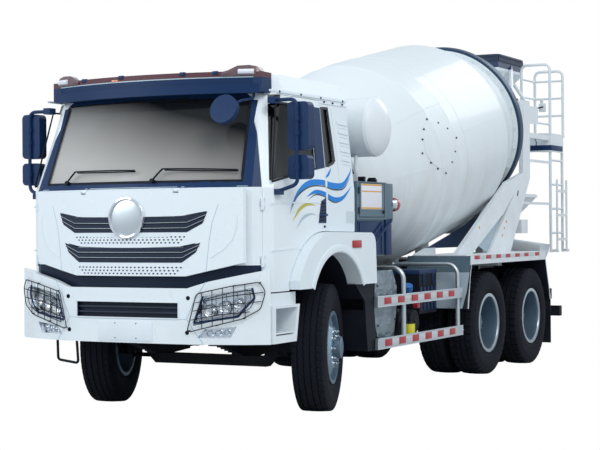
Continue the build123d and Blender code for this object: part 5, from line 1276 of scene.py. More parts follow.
def plate_on(bm, outline, surface, thick, sink=0.002):
    """A thin plate whose outline is given on a face, standing off it by its thickness."""
    placed = [surface(point) for point in outline]
    skin(bm, [[stand_off(p, -sink) for p in placed], [stand_off(p, thick) for p in placed]])


def eased(a, b, c, d, t):
    """A smooth course from b to c for t from 0 to 1, with a before it and d after it."""
    return 0.5 * (2 * b + (c - a) * t + (2 * a - 5 * b + 4 * c - d) * t * t + (3 * b - a - 3 * c + d) * t ** 3)


def curve_through(points, steps=10):
    """A smooth line through points, each drawn as (a, b, width)."""
    line = []
    padded = [points[0]] + list(points) + [points[-1]]
    for p0, p1, p2, p3 in zip(padded, padded[1:], padded[2:], padded[3:]):
        for k in range(steps):
            line.append(tuple(eased(*four, k / steps) for four in zip(p0, p1, p2, p3)))
    return line + [tuple(points[-1])]


def swoosh(bm, points, surface, keep):
    """A tapering band along a smooth line, where keep(y) holds: each point gives its place and the band's width."""
    line = [p for p in curve_through(points) if keep(p[0])]
    rings = []
    for k, (a, b, width) in enumerate(line):
        place, out = surface((a, b))
        half = out.cross(way_along(line, k, surface)) * max(width, 0.0006) / 2
        low, high = place - out * 0.001, place + out * 0.0012
        rings.append([low + half, low - half, high - half, high + half])
    if rings:
        skin(bm, rings)


# Waves painted over the door and the cab's side: (y, z, width) along each
BLUE_WAVES = [
    [(-0.700, 1.700, 0.0), (-0.560, 1.838, 0.030), (-0.360, 1.915, 0.048), (-0.120, 1.928, 0.046),
     (0.080, 1.905, 0.052), (0.280, 1.915, 0.046), (0.430, 2.010, 0.020), (0.478, 2.075, 0.0)],
    [(-0.420, 1.800, 0.0), (-0.260, 1.846, 0.030), (-0.090, 1.836, 0.034), (0.090, 1.790, 0.040),
     (0.270, 1.806, 0.034), (0.440, 1.905, 0.0)],
    [(-0.060, 1.965, 0.0), (0.020, 2.000, 0.026), (0.085, 2.060, 0.0)],
]
BLACK_WAVES = [
    [(-0.712, 1.662, 0.0), (-0.575, 1.806, 0.014), (-0.360, 1.885, 0.012), (-0.120, 1.897, 0.010),
     (0.090, 1.872, 0.012), (0.290, 1.886, 0.010), (0.440, 1.985, 0.0)],
    [(-0.380, 1.778, 0.0), (-0.250, 1.824, 0.010), (-0.090, 1.812, 0.010), (0.100, 1.764, 0.010), (0.270, 1.784, 0.0)],
]
YELLOW_WAVES = [[(-0.660, 1.600, 0.0), (-0.540, 1.700, 0.030), (-0.400, 1.742, 0.024), (-0.240, 1.735, 0.0)]]
GREY_WAVES = [[(-0.600, 1.540, 0.0), (-0.480, 1.630, 0.026), (-0.340, 1.664, 0.016), (-0.230, 1.655, 0.0)]]
DOOR_END = -0.046
PANEL_START = -0.034


def waves(table, keep):
    """Builds the part of the waves where keep(y) holds: on the door or on the cab behind it."""
    def made(bm):
        """One band for each line of the table."""
        for line in table:
            swoosh(bm, line, on_side, keep)
    return made


for side, word in SIDES:
    for table, material, colour in ((BLUE_WAVES, DECAL_BLUE, "blue"), (BLACK_WAVES, DECAL_BLACK, "black"),
                                    (YELLOW_WAVES, DECAL_YELLOW, "yellow"), (GREY_WAVES, DECAL_GREY, "grey")):
        new_piece(f"door_waves_{colour}_{word}", turned_over(waves(table, lambda y: y < DOOR_END), side), material,
                  "door_" + word)
        if colour in ("blue", "black"):
            new_piece(f"cab_waves_{colour}_{word}", turned_over(waves(table, lambda y: y > PANEL_START), side),
                      material)


def door_pillar(bm):
    """The dark post behind the door's window, on the door's side."""
    plate_on(bm, [(-0.196, 2.032), (-0.040, 2.054), (-0.036, 2.556), (-0.186, 2.556)], on_side, 0.0022)


def cab_pillar(bm):
    """The black strips round the quarter window, with the post before it."""
    plate_on(bm, [(-0.026, 2.058), (0.026, 2.064), (0.016, 2.566), (-0.026, 2.566)], on_side, 0.0022)
    plate_on(bm, [(0.020, 2.060), (0.171, 2.112), (0.169, 2.130), (0.020, 2.078)], on_side, 0.0026)
    plate_on(bm, [(0.130, 2.104), (0.171, 2.116), (0.120, 2.570), (0.098, 2.562)], on_side, 0.0030)
    plate_on(bm, [(0.010, 2.548), (0.122, 2.552), (0.120, 2.572), (0.010, 2.568)], on_side, 0.0028)


def quarter_window(bm):
    """The raised edge of the quarter window's opening."""
    corners = [(0.022, 2.066), (0.140, 2.098), (0.108, 2.562), (0.012, 2.562)]
    side_line(bm, corners + [corners[0]], 0.014, 0.0034)


def door_vent(bm):
    """The dark vent behind the door, at the door's lower rear corner."""
    plate_on(bm, [(-0.150, 1.770), (-0.058, 1.800), (-0.058, 1.590), (-0.195, 1.590)], on_side, 0.004)


def vent_ribs(bm):
    """Ribs across the vent."""
    for k in range(6):
        z = 1.610 + 0.028 * k
        side_line(bm, [(-0.185 + 0.008 * k, z), (-0.064, z + 0.006)], 0.006, 0.008)


def blank_sign(bm):
    """A small blank plate behind the door."""
    plate_on(bm, [(0.335, 1.590), (0.500, 1.590), (0.500, 1.690), (0.335, 1.690)], on_side, 0.003)


def drip_rail(bm):
    """The gutter along the roof's edge and its lower step behind the door."""
    side_line(bm, [(-0.900, 2.642), (0.490, 2.642)], 0.016, 0.008)
    side_line(bm, [(-0.030, 2.600), (0.490, 2.600)], 0.008, 0.006)


def corner_ribs(bm):
    """Pressed ribs on the cab's rear corner."""
    for k in range(5):
        z = 2.440 - 0.078 * k
        side_line(bm, [(0.270 + 0.006 * k, z + 0.010), (0.470, z)], 0.026, 0.007)
        side_line(bm, [(0.290 + 0.006 * k, z - 0.028), (0.470, z - 0.036)], 0.010, 0.004)


def panel_lines(bm):
    """Joints of the cab's side: under the roof and round the corner panel."""
    side_line(bm, [(0.225, 1.890), (0.215, 2.100), (0.180, 2.560)], 0.004, 0.0006)
    side_line(bm, [(-0.500, 2.625), (0.120, 2.620), (0.125, 2.585)], 0.004, 0.0006)


for side, word in SIDES:
    body = "door_" + word
    new_piece("door_pillar_" + word, turned_over(door_pillar, side), NAVY_PLASTIC, body)
    new_piece("door_vent_" + word, turned_over(door_vent, side), NAVY_PLASTIC, body)
    new_piece("door_vent_ribs_" + word, turned_over(vent_ribs, side), BLACK_PLASTIC, body)

new_piece("cab_pillar", for_both(cab_pillar), WINDOW_BORDER)
new_piece("quarter_window_border", for_both(quarter_window), WINDOW_BORDER)
new_piece("side_blank_sign", for_both(blank_sign), SIGN_PLATE)
new_piece("drip_rail", for_both(drip_rail), WHITE_PAINT)
new_piece("corner_ribs", for_both(corner_ribs), WHITE_PAINT)
new_piece("side_panel_joints", for_both(panel_lines), DECAL_GREY)

GUTTER_BOLTS = ((-0.742, 2.642), (-0.371, 2.642), (-0.009, 2.642), (0.414, 2.642), (0.050, 2.612), (0.214, 2.612),
                (0.400, 2.612))
roof_bolts = with_mirror([on_side(point) for point in GUTTER_BOLTS])
repeated("gutter_bolts", bolt_shape, [(p + d * 0.007, d) for p, d in roof_bolts], CAST_METAL, size=0.8)


# Sun visor: brown over navy, its lamps and the painted highlight along its step


def visor_front(x):
    """Where the face of the visor's upper, bowed band lies."""
    return -1.085 + 0.205 * (x / 0.985) ** 2


def lamp_housings(bm):
    """A raised lamp housing at each end of the visor: it tapers towards the middle."""
    foot = 2.762
    for side in (1, -1):
        rings = []
        for x, top, depth in ((0.690, 2.798, 0.060), (0.740, 2.812, 0.080), (0.810, 2.846, 0.110),
                              (0.900, 2.850, 0.120), (0.960, 2.838, 0.110), (0.984, 2.805, 0.090)):
            front = visor_front(x) - 0.012
            rings.append([at(side * x, y, z) for y, z in (
                (front, foot), (front - 0.004, (foot + top) / 2), (front + 0.018, top), (front + depth, top - 0.006),
                (front + depth + 0.02, foot))])
        skin(bm, rings)


def clearance_lamps(bm):
    """White lenses in the lamp housings."""
    for side in (1, -1):
        places = [at(side * (0.825 + 0.020 * k), visor_front(0.825 + 0.020 * k) - 0.012, 2.796) for k in range(7)]
        tube(bm, places, 0.0215, 0.01, 10)


def visor_highlight_line(bm):
    """A painted highlight: a pale line along the step between the visor's bands."""
    skin(bm, [[at(x, visor_front(x) + dy, z) for dy, z in ((-0.005, 2.750), (-0.005, 2.758), (0.004, 2.758),
                                                           (0.004, 2.750))]
              for x in (-0.985 + 1.97 * k / 40 for k in range(41))])


def visor_clips(bm):
    """The four dark clips that hold the tinted band."""
    for x in (-0.620, -0.205, 0.370, 0.640):
        y = visor_front(x)
        block(bm, (x - 0.022, x + 0.022), (y - 0.010, y + 0.02), (2.775, 2.806), 0.003)


new_piece("visor_lamp_housings", lamp_housings, VISOR_TINT)
new_piece("clearance_lamps", clearance_lamps, LABEL_WHITE)
# Painted highlight: a pale grey line along the step between the visor's bands
new_piece("visor_edge_line", visor_highlight_line, DECAL_GREY)
new_piece("visor_clips", visor_clips, NAVY_PLASTIC)
new_piece("visor_marker_lamp", lambda bm: block(bm, (-0.300, -0.232), (visor_front(0.265) - 0.008, -1.05),
                                                (2.760, 2.772), 0.002), AMBER_LENS)


# Control cabinet

CABINET = {"x": 1.080, "y": (0.700, 1.340), "z": (1.620, 1.960), "low_z": 1.290}


def cabinet_sign(bm):
    """The blank white sign on the cabinet's side."""
    block(bm, (CABINET["x"] - 0.001, CABINET["x"] + 0.004), (0.790, 1.225), (1.712, 1.940), 0.001)


def sign_bands(bm):
    """Three orange bands across the blank sign."""
    for z0, z1 in ((1.925, 1.938), (1.868, 1.878), (1.716, 1.729)):
        block(bm, (CABINET["x"] + 0.002, CABINET["x"] + 0.0055), (0.795, 1.220), (z0, z1), 0.0005)


def cabinet_trim(bm):
    """Door seams, hinges and the round lock of the cabinet."""
    x = CABINET["x"]
    for y in (0.745, 1.290):
        block(bm, (x - 0.001, x + 0.002), (y, y + 0.006), (1.640, 1.945), 0.0005)
    for z in (1.640, 1.943):
        block(bm, (x - 0.001, x + 0.002), (0.745, 1.296), (z, z + 0.006), 0.0005)
    for z in (1.700, 1.880):
        rod(bm, at(x + 0.006, 0.733, z - 0.030), at(x + 0.006, 0.733, z + 0.030), 0.010, 12)
    rod(bm, at(x - 0.002, 1.262, 1.690), at(x + 0.012, 1.262, 1.690), 0.018, 20)
    rod(bm, at(x + 0.010, 1.262, 1.690), at(x + 0.018, 1.262, 1.690), 0.009, 16)


def cabinet_lower(bm):
    """The lower box's dark cover with its frame and strut."""
    x = CABINET["x"] - 0.020
    block(bm, (x - 0.001, x + 0.006), (0.740, 1.310), (1.300, 1.606), 0.002)
    for y in (0.790, 1.255):
        block(bm, (x, x + 0.012), (y - 0.012, y + 0.012), (1.310, 1.600), 0.002)
    rod(bm, at(x + 0.014, 0.800, 1.330), at(x + 0.014, 1.240, 1.585), 0.009, 10)


def cabinet_top(bm):
    """The bent breather pipe, the filler cap and the bracket on the cabinet's roof."""
    z = CABINET["z"][1]
    tube(bm, [at(0.900, 0.850, z), at(0.900, 0.850, z + 0.100), at(0.900, 0.960, z + 0.130),
              at(0.900, 1.010, z + 0.080)], 0.009, 0.03, 8)
    rod(bm, at(0.980, 1.240, z - 0.002), at(0.980, 1.240, z + 0.030), 0.046, 24)
    rod(bm, at(0.980, 1.240, z + 0.028), at(0.980, 1.240, z + 0.044), 0.036, 24)
    block(bm, (0.940, 1.000), (1.020, 1.060), (z - 0.001, z + 0.050), 0.003)


def valve_wheel(bm):
    """The red cap on the water valve, with its rim and hub."""
    centre = at(CABINET["x"] - 0.060, 1.628, 1.760)
    revolved(bm, [(0.024, 0.0001), (0.024, 0.052), (0.018, 0.064), (-0.018, 0.066), (-0.026, 0.058), (-0.026, 0.0001)],
             centre, Y_AXIS, 32)


def valve_body(bm):
    """The bright valve's flange and stem."""
    centre = at(CABINET["x"] - 0.060, 1.486, 1.760)
    revolved(bm, [(0.000, 0.0001), (0.000, 0.064), (0.016, 0.064), (0.018, 0.050), (0.090, 0.050), (0.094, 0.060),
                  (0.110, 0.060), (0.112, 0.0001)], centre, Y_AXIS, 32)


new_piece("cabinet_sign", cabinet_sign, LABEL_WHITE)
new_piece("cabinet_sign_bands", sign_bands, ORANGE_BAND)
new_piece("cabinet_trim", cabinet_trim, CAST_METAL)
new_piece("cabinet_lower_cover", cabinet_lower, NAVY_PLASTIC)
new_piece("cabinet_top_fittings", cabinet_top, BLACK_PLASTIC)
new_piece("valve_body", valve_body, CHROME)
new_piece("valve_cap", valve_wheel, VALVE_RED)


# Drum

DRUM_AXIS = Vector((0, cos(radians(DRUM_TILT)), sin(radians(DRUM_TILT))))
DRUM_UP = Vector((0, -sin(radians(DRUM_TILT)), cos(radians(DRUM_TILT))))
DRUM_OUTLINE = ((-4.050, 0.200), (-3.980, 0.430), (-3.850, 0.640), (-2.700, 1.060), (-2.300, 1.080), (-0.800, 1.080),
                (-0.090, 0.905), (0.090, 0.905), (0.720, 0.520))


def drum_radius(s):
    """The drum's outer radius at a distance along its axis from the track ring."""
    for (s0, r0), (s1, r1) in zip(DRUM_OUTLINE, DRUM_OUTLINE[1:]):
        if s <= s1:
            return r0 + (r1 - r0) * (s - s0) / (s1 - s0)
    return DRUM_OUTLINE[-1][1]


def drum_place(s, angle, radius):
    """A place from its distance along the axis, its angle from the truck's left and its distance from the axis."""
    turn = radians(angle)
    return at(0, *DRUM_RING) + DRUM_AXIS * s + (X_AXIS * cos(turn) + DRUM_UP * sin(turn)) * radius


def on_drum(point):
    """(distance along, angle) on the drum's skin, with the way out of it."""
    s, angle = point
    turn = radians(angle)
    slope = (drum_radius(s + 0.004) - drum_radius(s - 0.004)) / 0.008
    out = X_AXIS * cos(turn) + DRUM_UP * sin(turn) - DRUM_AXIS * slope
    return drum_place(s, angle, drum_radius(s)), out.normalized()


def seam_ring(bm, s, width, proud):
    """A weld bead right round the drum."""
    r = drum_radius(s)
    slope = drum_radius(s + 0.01) - drum_radius(s - 0.01)
    profile = [(-width, -0.002 - slope), (-width * 0.5, proud * 0.8), (0.0, proud), (width * 0.5, proud * 0.8),
               (width, -0.002 + slope)]
    revolved(bm, [(a, r + h) for a, h in profile], drum_place(s, 0, 0), DRUM_AXIS, 120)


def drum_welds(bm):
    """The weld beads round the drum and along its plates."""
    for s in (-2.050, -3.845, -0.795):
        seam_ring(bm, s, 0.007, 0.0030)
    for s in (-2.700, -2.300):
        seam_ring(bm, s, 0.005, 0.0016)
    for angle, marks in ((13.5, (-2.045, -0.800, -0.110)), (33, (-3.840, -2.700, -2.300, -2.060))):
        for turn in (angle, angle + 180):
            strip_on(bm, [(s, turn) for s in marks], on_drum, 0.009, 0.0028, 14)


HATCH_BOLTS = ((-2.723, 27.0), (-2.822, 22.7), (-2.893, 17.6), (-2.951, 10.1), (-2.862, 3.4), (-2.777, -0.9),
               (-2.645, -4.6), (-2.487, 0.0), (-2.381, 4.9), (-2.277, 11.6), (-2.411, 18.1), (-2.554, 22.8))


HATCH = (-2.615, 11.2)   # its middle: metres along the drum, degrees round it


def hatch_ring(along, turn, proud):
    """An oval on the drum round the hatch's middle, standing off the skin."""
    angles = [2 * pi * k / 48 for k in range(48)]
    return [stand_off(on_drum((HATCH[0] + along * cos(a), HATCH[1] + turn * sin(a))), proud) for a in angles]


def drum_hatch(bm):
    """The oval plate over the drum's manhole."""
    inner = skin(bm, [hatch_ring(0.288, 13.6, -0.003), hatch_ring(0.288, 13.6, 0.0035), hatch_ring(0.24, 11.4, 0.0042),
                      hatch_ring(0.12, 5.7, 0.0044)], "open")[-1]
    centre = bm.verts.new(stand_off(on_drum(HATCH), 0.0046))
    for a, b in zip(inner, inner[1:] + inner[:1]):
        bm.faces.new((a, b, centre))


def drum_blades(bm):
    """The two spiral blades that show in the drum's mouth."""
    for start in (0.0, 180.0):
        rings = []
        for k in range(33):
            s = 0.700 - 0.036 * k
            outer = drum_radius(s) - 0.018
            inner = outer - 0.170
            rings.append([drum_place(s + d, start + 11.0 * k, r)
                          for r, d in ((outer, -0.003), (outer, 0.003), (inner, 0.010), (inner, 0.004))])
        skin(bm, rings)


def mouth_rim(bm):
    """The rounded rim of the drum's mouth and its wear band."""
    profile = [(0.700, 0.500), (0.706, 0.530), (0.722, 0.540), (0.732, 0.528), (0.732, 0.506), (0.722, 0.498)]
    revolved(bm, profile, at(0, *DRUM_RING), DRUM_AXIS, 72)


def ring_wear(bm):
    """The track ring's running band, worn by the rollers."""
    revolved(bm, [(-0.040, 0.9765), (0.040, 0.9765), (0.040, 0.970), (-0.040, 0.970)], at(0, *DRUM_RING), DRUM_AXIS,
             120)


def ring_side_paint(bm):
    """White paint on the ring's sides, up to the dark rim."""
    for s0, s1 in ((-0.0575, -0.053), (0.053, 0.0575)):
        revolved(bm, [(s0, 0.900), (s0, 0.947), (s1, 0.947), (s1, 0.900)], at(0, *DRUM_RING), DRUM_AXIS, 120)


def ring_shims(bm):
    """The steel packings between the ring and the drum's belt."""
    for k in range(24):
        near, far = drum_place(-0.085, 15 * k, 0.914), drum_place(0.085, 15 * k, 0.914)
        rod(bm, near, far, 0.012, 6)


def flange_bolts():
    """The bolts of the drum's drive flange."""
    return [(drum_place(-4.052, 30 * k + 8, 0.165), -DRUM_AXIS) for k in range(12)]


new_piece("drum_weld_seams", drum_welds, DRUM_PAINT, "drum")
new_piece("drum_hatch", drum_hatch, DRUM_PAINT, "drum")
repeated("hatch_bolts", bolt_shape, [(stand_off(on_drum(p), 0.003), on_drum(p)[1]) for p in HATCH_BOLTS], CAST_METAL,
         "drum", size=0.85)
new_piece("drum_blades", drum_blades, CAST_METAL, "drum", smooth=60)
new_piece("drum_mouth_rim", mouth_rim, DRUM_PAINT, "drum")
new_piece("ring_running_band", ring_wear, RING_STEEL, "drum")
new_piece("ring_side_paint", ring_side_paint, DRUM_PAINT, "drum")
new_piece("ring_packings", ring_shims, DRUM_PAINT, "drum")
repeated("drum_flange_bolts", bolt_shape, flange_bolts(), CAST_METAL, "drum", size=1.4)


# Chassis sides

TILE_X = 1.215
FENDER_X = 1.250


def squares(bm, middles, z, x, wide, high):
    """Small reflecting tiles along a rail."""
    for y in middles:
        block(bm, (x - 0.002, x + 0.0025), (y - wide / 2, y + wide / 2), (z - high / 2, z + high / 2), 0.0006)


UPPER_TILES = (1.050, 1.350, 1.665, 1.975, 2.280, 2.587)
LOWER_TILES = (1.061, 1.371, 1.681, 1.992, 2.297, 2.606)
FENDER_TILES = (3.214, 3.549, 3.850, 4.146, 4.452, 4.751, 5.124)


def guard_tiles(bm):
    """The red tiles on the side guards' rails."""
    squares(bm, UPPER_TILES, 0.890, TILE_X, 0.150, 0.058)
    squares(bm, LOWER_TILES, 0.514, TILE_X, 0.150, 0.062)


def guard_white_tiles(bm):
    """The pale tiles between the red ones."""
    squares(bm, between(UPPER_TILES), 0.890, TILE_X, 0.140, 0.056)
    squares(bm, between(LOWER_TILES), 0.514, TILE_X, 0.150, 0.060)


def fender_tiles(bm):
    """The red tiles along the rear fenders."""
    squares(bm, FENDER_TILES, 1.2335, FENDER_X, 0.145, 0.040)


def fender_white_tiles(bm):
    """The pale tiles between them."""
    squares(bm, between(FENDER_TILES), 1.2335, FENDER_X, 0.150, 0.040)


def guard_rail_lips(bm):
    """The folded lips along the guard rails and their end caps."""
    for low, high in ((0.462, 0.560), (0.838, 0.936)):
        for z in (low + 0.003, high - 0.003):
            rod(bm, at(1.2145, 0.832, z), at(1.2145, 2.898, z), 0.003, 6)


def guard_bolts():
    """The bolts through the guards' rails into their posts."""
    return [(at(1.2155, y, z), X_AXIS) for y in (1.470, 1.550, 2.830, 2.892) for z in (0.511, 0.890)]


def fender_edge(bm):
    """The rolled edge along the rear fender and its flap bracket."""
    rod(bm, at(1.249, 2.915, 1.256), at(1.249, 5.555, 1.256), 0.005, 8)
    tube(bm, [at(1.246, 5.400, 1.250), at(1.246, 5.440, 1.10), at(1.246, 5.600, 0.70)], 0.008, 0.02, 8)
    tube(bm, [at(1.246, 3.050, 1.160), at(1.246, 3.010, 1.02), at(1.246, 2.960, 0.72)], 0.007, 0.02, 8)


def before_wheels(z):
    """Where the sloped panel before the rear wheels stands at a height."""
    return 2.903 + 0.290 * (min(z, 1.168) - 0.720)


def panel_before_wheels(bm, corners):
    """A thin sheet on that panel from its (x, z) corners."""
    slab(bm, [at(x, before_wheels(z) - 0.006, z) for x, z in corners], Vector((0, 0.005, 0)))


def slate_panel(bm):
    """The upper sheet before the rear wheels."""
    panel_before_wheels(bm, [(0.560, 1.086), (1.246, 1.086), (1.246, 1.250), (0.560, 1.250)])


def lower_panel(bm):
    """The galvanised sheet below it, cut to the wheel's arch."""
    panel_before_wheels(bm, [(0.660, 0.724), (1.205, 0.724), (1.236, 0.900), (1.246, 1.085), (0.660, 1.085)])


def panel_rivets():
    """Rows of rivets along both sheets before the rear wheels."""
    rows = ((0.60, 0.105, 7, 1.234), (0.60, 0.105, 7, 1.102), (0.70, 0.105, 6, 1.068), (0.70, 0.095, 6, 0.742))
    places = [(x + step * k, z) for x, step, count, z in rows for k in range(count)] + [(1.226, 0.98), (1.208, 0.84)]
    return [(at(x, before_wheels(z) - 0.0065, z), -Y_AXIS) for x, z in places]


def foil_shield(bm):
    """The crumpled foil over the exhaust's heat shield, bowed outwards."""
    rings = []
    for z, y0, y1 in ((0.540, 1.130, 1.430), (0.560, 1.075, 1.455), (0.660, 1.035, 1.490), (0.850, 1.028, 1.512),
                      (1.000, 1.030, 1.520), (1.080, 1.036, 1.480), (1.158, 1.045, 1.430)):
        line = [at(1.094 + 0.030 * sin(pi * t) + 0.004 * sin(9 * t + 13 * z), y0 + (y1 - y0) * t, z)
                for t in (k / 10 for k in range(11))]
        rings.append((line, [p - Vector((0.004, 0, 0)) for p in line]))
    front, back = ([[bm.verts.new(p) for p in ring[side]] for ring in rings] for side in (0, 1))
    for low, high, low_back, high_back in zip(front, front[1:], back, back[1:]):
        for k in range(10):
            bm.faces.new((low[k], low[k + 1], high[k + 1], high[k]))
            bm.faces.new((low_back[k], high_back[k], high_back[k + 1], low_back[k + 1]))
        bm.faces.new((low[0], high[0], high_back[0], low_back[0]))
        bm.faces.new((low[-1], low_back[-1], high_back[-1], high[-1]))
    for k in range(10):
        bm.faces.new((front[0][k], back[0][k], back[0][k + 1], front[0][k + 1]))
        bm.faces.new((front[-1][k], front[-1][k + 1], back[-1][k + 1], back[-1][k]))


def foil_bolts():
    """The bolts that hold the foil."""
    return [(at(1.104, y, z), X_AXIS) for y, z in ((1.075, 0.66), (1.455, 0.70), (1.070, 1.02), (1.470, 1.03),
                                                   (1.180, 0.58), (1.36, 0.60))]


def battery_cover(bm):
    """The battery box's lid with its lip, clamps and handles."""
    block(bm, (0.512, 1.008), (2.272, 2.728), (1.085, 1.128), 0.010)
    for y in (2.38, 2.62):
        block(bm, (0.999, 1.010), (y - 0.016, y + 0.016), (0.985, 1.095), 0.003)
        rod(bm, at(1.012, y, 1.000), at(1.012, y, 1.075), 0.006, 8)
    for k in range(5):
        block(bm, (0.999, 1.006), (2.300 + 0.09 * k, 2.345 + 0.09 * k), (0.730, 0.960), 0.004)


AIR_TANKS = (1.760, 2.040)
AIR_TANK_Z = 0.640


def air_tank_bands(bm):
    """The straps round the air tanks and their end rings."""
    for y in AIR_TANKS:
        for x in (0.660, 0.900):
            revolved(bm, [(-0.014, 0.1150), (0.014, 0.1150), (0.014, 0.1195), (-0.014, 0.1195)], at(x, y, AIR_TANK_Z),
                     X_AXIS, 40)
        rod(bm, at(1.046, y, AIR_TANK_Z), at(1.066, y, AIR_TANK_Z), 0.014, 12)
        rod(bm, at(1.060, y, AIR_TANK_Z), at(1.072, y, AIR_TANK_Z), 0.010, 6)


CANISTER = (1.125, 1.745)


def canister(bm):
    """The small canister on the chassis side with its neck."""
    rod(bm, at(*CANISTER, 0.500), at(*CANISTER, 0.650), 0.050, 24)
    rod(bm, at(*CANISTER, 0.648), at(*CANISTER, 0.666), 0.050, 24, 0.022)
    rod(bm, at(*CANISTER, 0.660), at(*CANISTER, 0.700), 0.018, 14)
    rod(bm, at(1.050, 1.745, 0.620), at(1.120, 1.745, 0.620), 0.012, 8)


def canister_label(bm):
    """The canister's plain label, wrapped half round it."""
    rings = []
    for k in range(13):
        turn = radians(-120 + 170 * k / 12)
        rings.append([at(CANISTER[0] + cos(turn) * r, CANISTER[1] + sin(turn) * r, z)
                      for r, z in ((0.0495, 0.548), (0.0515, 0.548), (0.0515, 0.640), (0.0495, 0.640))])
    skin(bm, rings)


def filler_pipe(bm):
    """The filler pipe on which the blue cap sits."""
    tube(bm, [at(0.900, 2.170, 0.800), at(0.930, 2.150, 0.880), at(0.950, 2.122, 0.948)], 0.030, 0.02, 14)


def blue_cap(bm):
    """The filler pipe's cap."""
    rod(bm, at(0.944, 2.130, 0.940), at(0.960, 2.108, 0.985), 0.048, 20, 0.044)


def chassis_pipes(bm):
    """Air lines and cable runs along the frame, and hoses to the tanks."""
    for x, z in ((0.452, 0.92), (0.454, 0.88), (0.450, 0.84)):
        tube(bm, [at(x, 0.60, z), at(x, 1.60, z + 0.01), at(x + 0.01, 2.60, z - 0.01), at(x, 3.20, z)], 0.009, 0.10, 8)
    for y in AIR_TANKS:
        tube(bm, [at(0.840, y, 0.755), at(0.820, y, 0.820), at(0.700, y + 0.05, 0.880), at(0.455, y + 0.05, 0.880)],
             0.010, 0.05, 8)
    tube(bm, [at(0.980, 2.15, 0.74), at(0.940, 2.15, 0.80), at(0.860, 2.17, 0.86), at(0.560, 2.20, 0.90)], 0.008, 0.05,
         8)
    tube(bm, [at(0.960, 2.30, 0.70), at(0.980, 2.20, 0.66), at(1.060, 2.05, 0.64)], 0.007, 0.05, 8)


def tank_valve(bm):
    """The red drain valve over the air tanks."""
    block(bm, (1.000, 1.052), (2.115, 2.185), (0.765, 0.815), 0.008)


def fuel_tank_straps(bm):
    """The fuel tank's straps and its filler cap, on the truck's right side."""
    middle_x, middle_z = -0.875, 0.820
    outline = []
    for k, (dx, dz) in enumerate(((0.190, 0.195), (-0.190, 0.195), (-0.190, -0.195), (0.190, -0.195))):
        for turn in (radians(90 * k + 15 * step) for step in range(7)):
            outline.append((middle_x + dx + cos(turn) * 0.068, middle_z + dz + sin(turn) * 0.068))
    half = Vector((0, 0.022, 0))
    for y in (1.250, 1.950):
        rings = []
        for x, z in outline:
            out = Vector((x - middle_x, 0, z - middle_z)).normalized() * 0.006
            place = at(x, y, z)
            rings.append([place - half, place + half, place + half + out, place - half + out])
        skin(bm, rings, "joined")
    rod(bm, at(-1.050, 1.500, 1.060), at(-1.075, 1.500, 1.105), 0.052, 24)
    rod(bm, at(-1.075, 1.500, 1.104), at(-1.084, 1.500, 1.120), 0.058, 24, 0.052)


new_piece("guard_red_tiles", for_both(guard_tiles), RED_REFLECTOR)
new_piece("guard_pale_tiles", for_both(guard_white_tiles), WHITE_REFLECTOR)
new_piece("fender_red_tiles", for_both(fender_tiles), RED_REFLECTOR)
new_piece("fender_pale_tiles", for_both(fender_white_tiles), WHITE_REFLECTOR)
new_piece("guard_rail_lips", for_both(guard_rail_lips), ALUMINIUM)
repeated("guard_bolts", bolt_shape, with_mirror(guard_bolts()), BRIGHT_STEEL, size=0.7)
new_piece("fender_edges", for_both(fender_edge), BODY_PAINT)
new_piece("slate_side_panel", for_both(slate_panel), CABINET_GREY)
new_piece("galvanised_side_panel", for_both(lower_panel), SHEET_METAL)
repeated("side_panel_rivets", rivet_shape, with_mirror(panel_rivets()), BRIGHT_STEEL, size=1.0)
new_piece("heat_shield_foil", foil_shield, FOIL, smooth=50)
repeated("heat_shield_bolts", bolt_shape, foil_bolts(), CAST_METAL, size=0.8)
new_piece("battery_box_lid", battery_cover, NAVY_PLASTIC)
new_piece("air_tank_bands", air_tank_bands, CAST_METAL)
new_piece("canister", canister, BLACK_PLASTIC)
new_piece("canister_label", canister_label, YELLOW_LABEL)
new_piece("filler_pipe", filler_pipe, BLACK_PLASTIC)
new_piece("blue_cap", blue_cap, CAP_BLUE)
new_piece("chassis_pipes", chassis_pipes, RUBBER)
new_piece("tank_valve", tank_valve, VALVE_RED)
new_piece("fuel_tank_straps", fuel_tank_straps, CAST_METAL)
new_piece("fender_marker_lamp", for_both(lambda bm: block(bm, (1.243, 1.256), (0.250, 0.425), (1.378, 1.440), 0.010)),
          RED_REFLECTOR)
new_piece("mudguard_marker", lambda bm: block(bm, (1.100, 1.112), (0.905, 0.945), (0.850, 0.925), 0.004), VALVE_RED)


def fender_moulding(bm):
    """The raised moulding round the front wheel's arch."""
    rings = []
    for k in range(33):
        turn = radians(24 + 132 * k / 32)
        out = Vector((0, cos(turn), sin(turn)))
        rings.append([at(1.245, 0, 0.840) + out * r + X_AXIS * d
                      for r, d in ((0.512, -0.002), (0.512, 0.006), (0.556, 0.010), (0.568, 0.006), (0.570, -0.002))])
    skin(bm, rings)


new_piece("fender_moulding", for_both(fender_moulding), WHITE_PAINT)


# Rear body: fenders, stand, hopper, platform


def hopper_collar(bm):
    """The rubber collar round the hopper's rim."""
    half, front, back, top = 0.474, 6.036, 6.924, 3.618
    tube(bm, [at(-half, 6.45, top), at(-half, front, top), at(half, front, top), at(half, back, top),
              at(-half, back, top), at(-half, 6.50, top)], 0.020, 0.06, 10)
    loop = [at(-half, front, 3.605), at(half, front, 3.605), at(half, back, 3.605), at(-half, back, 3.605)]
    drop = Vector((0, 0, 0.055))
    for a, b in zip(loop, loop[1:] + loop[:1]):
        across = Vector((b.y - a.y, a.x - b.x, 0)).normalized()
        slab(bm, [a + across * 0.004, b + across * 0.004, b + across * 0.002 - drop, a + across * 0.002 - drop],
             across * 0.006)


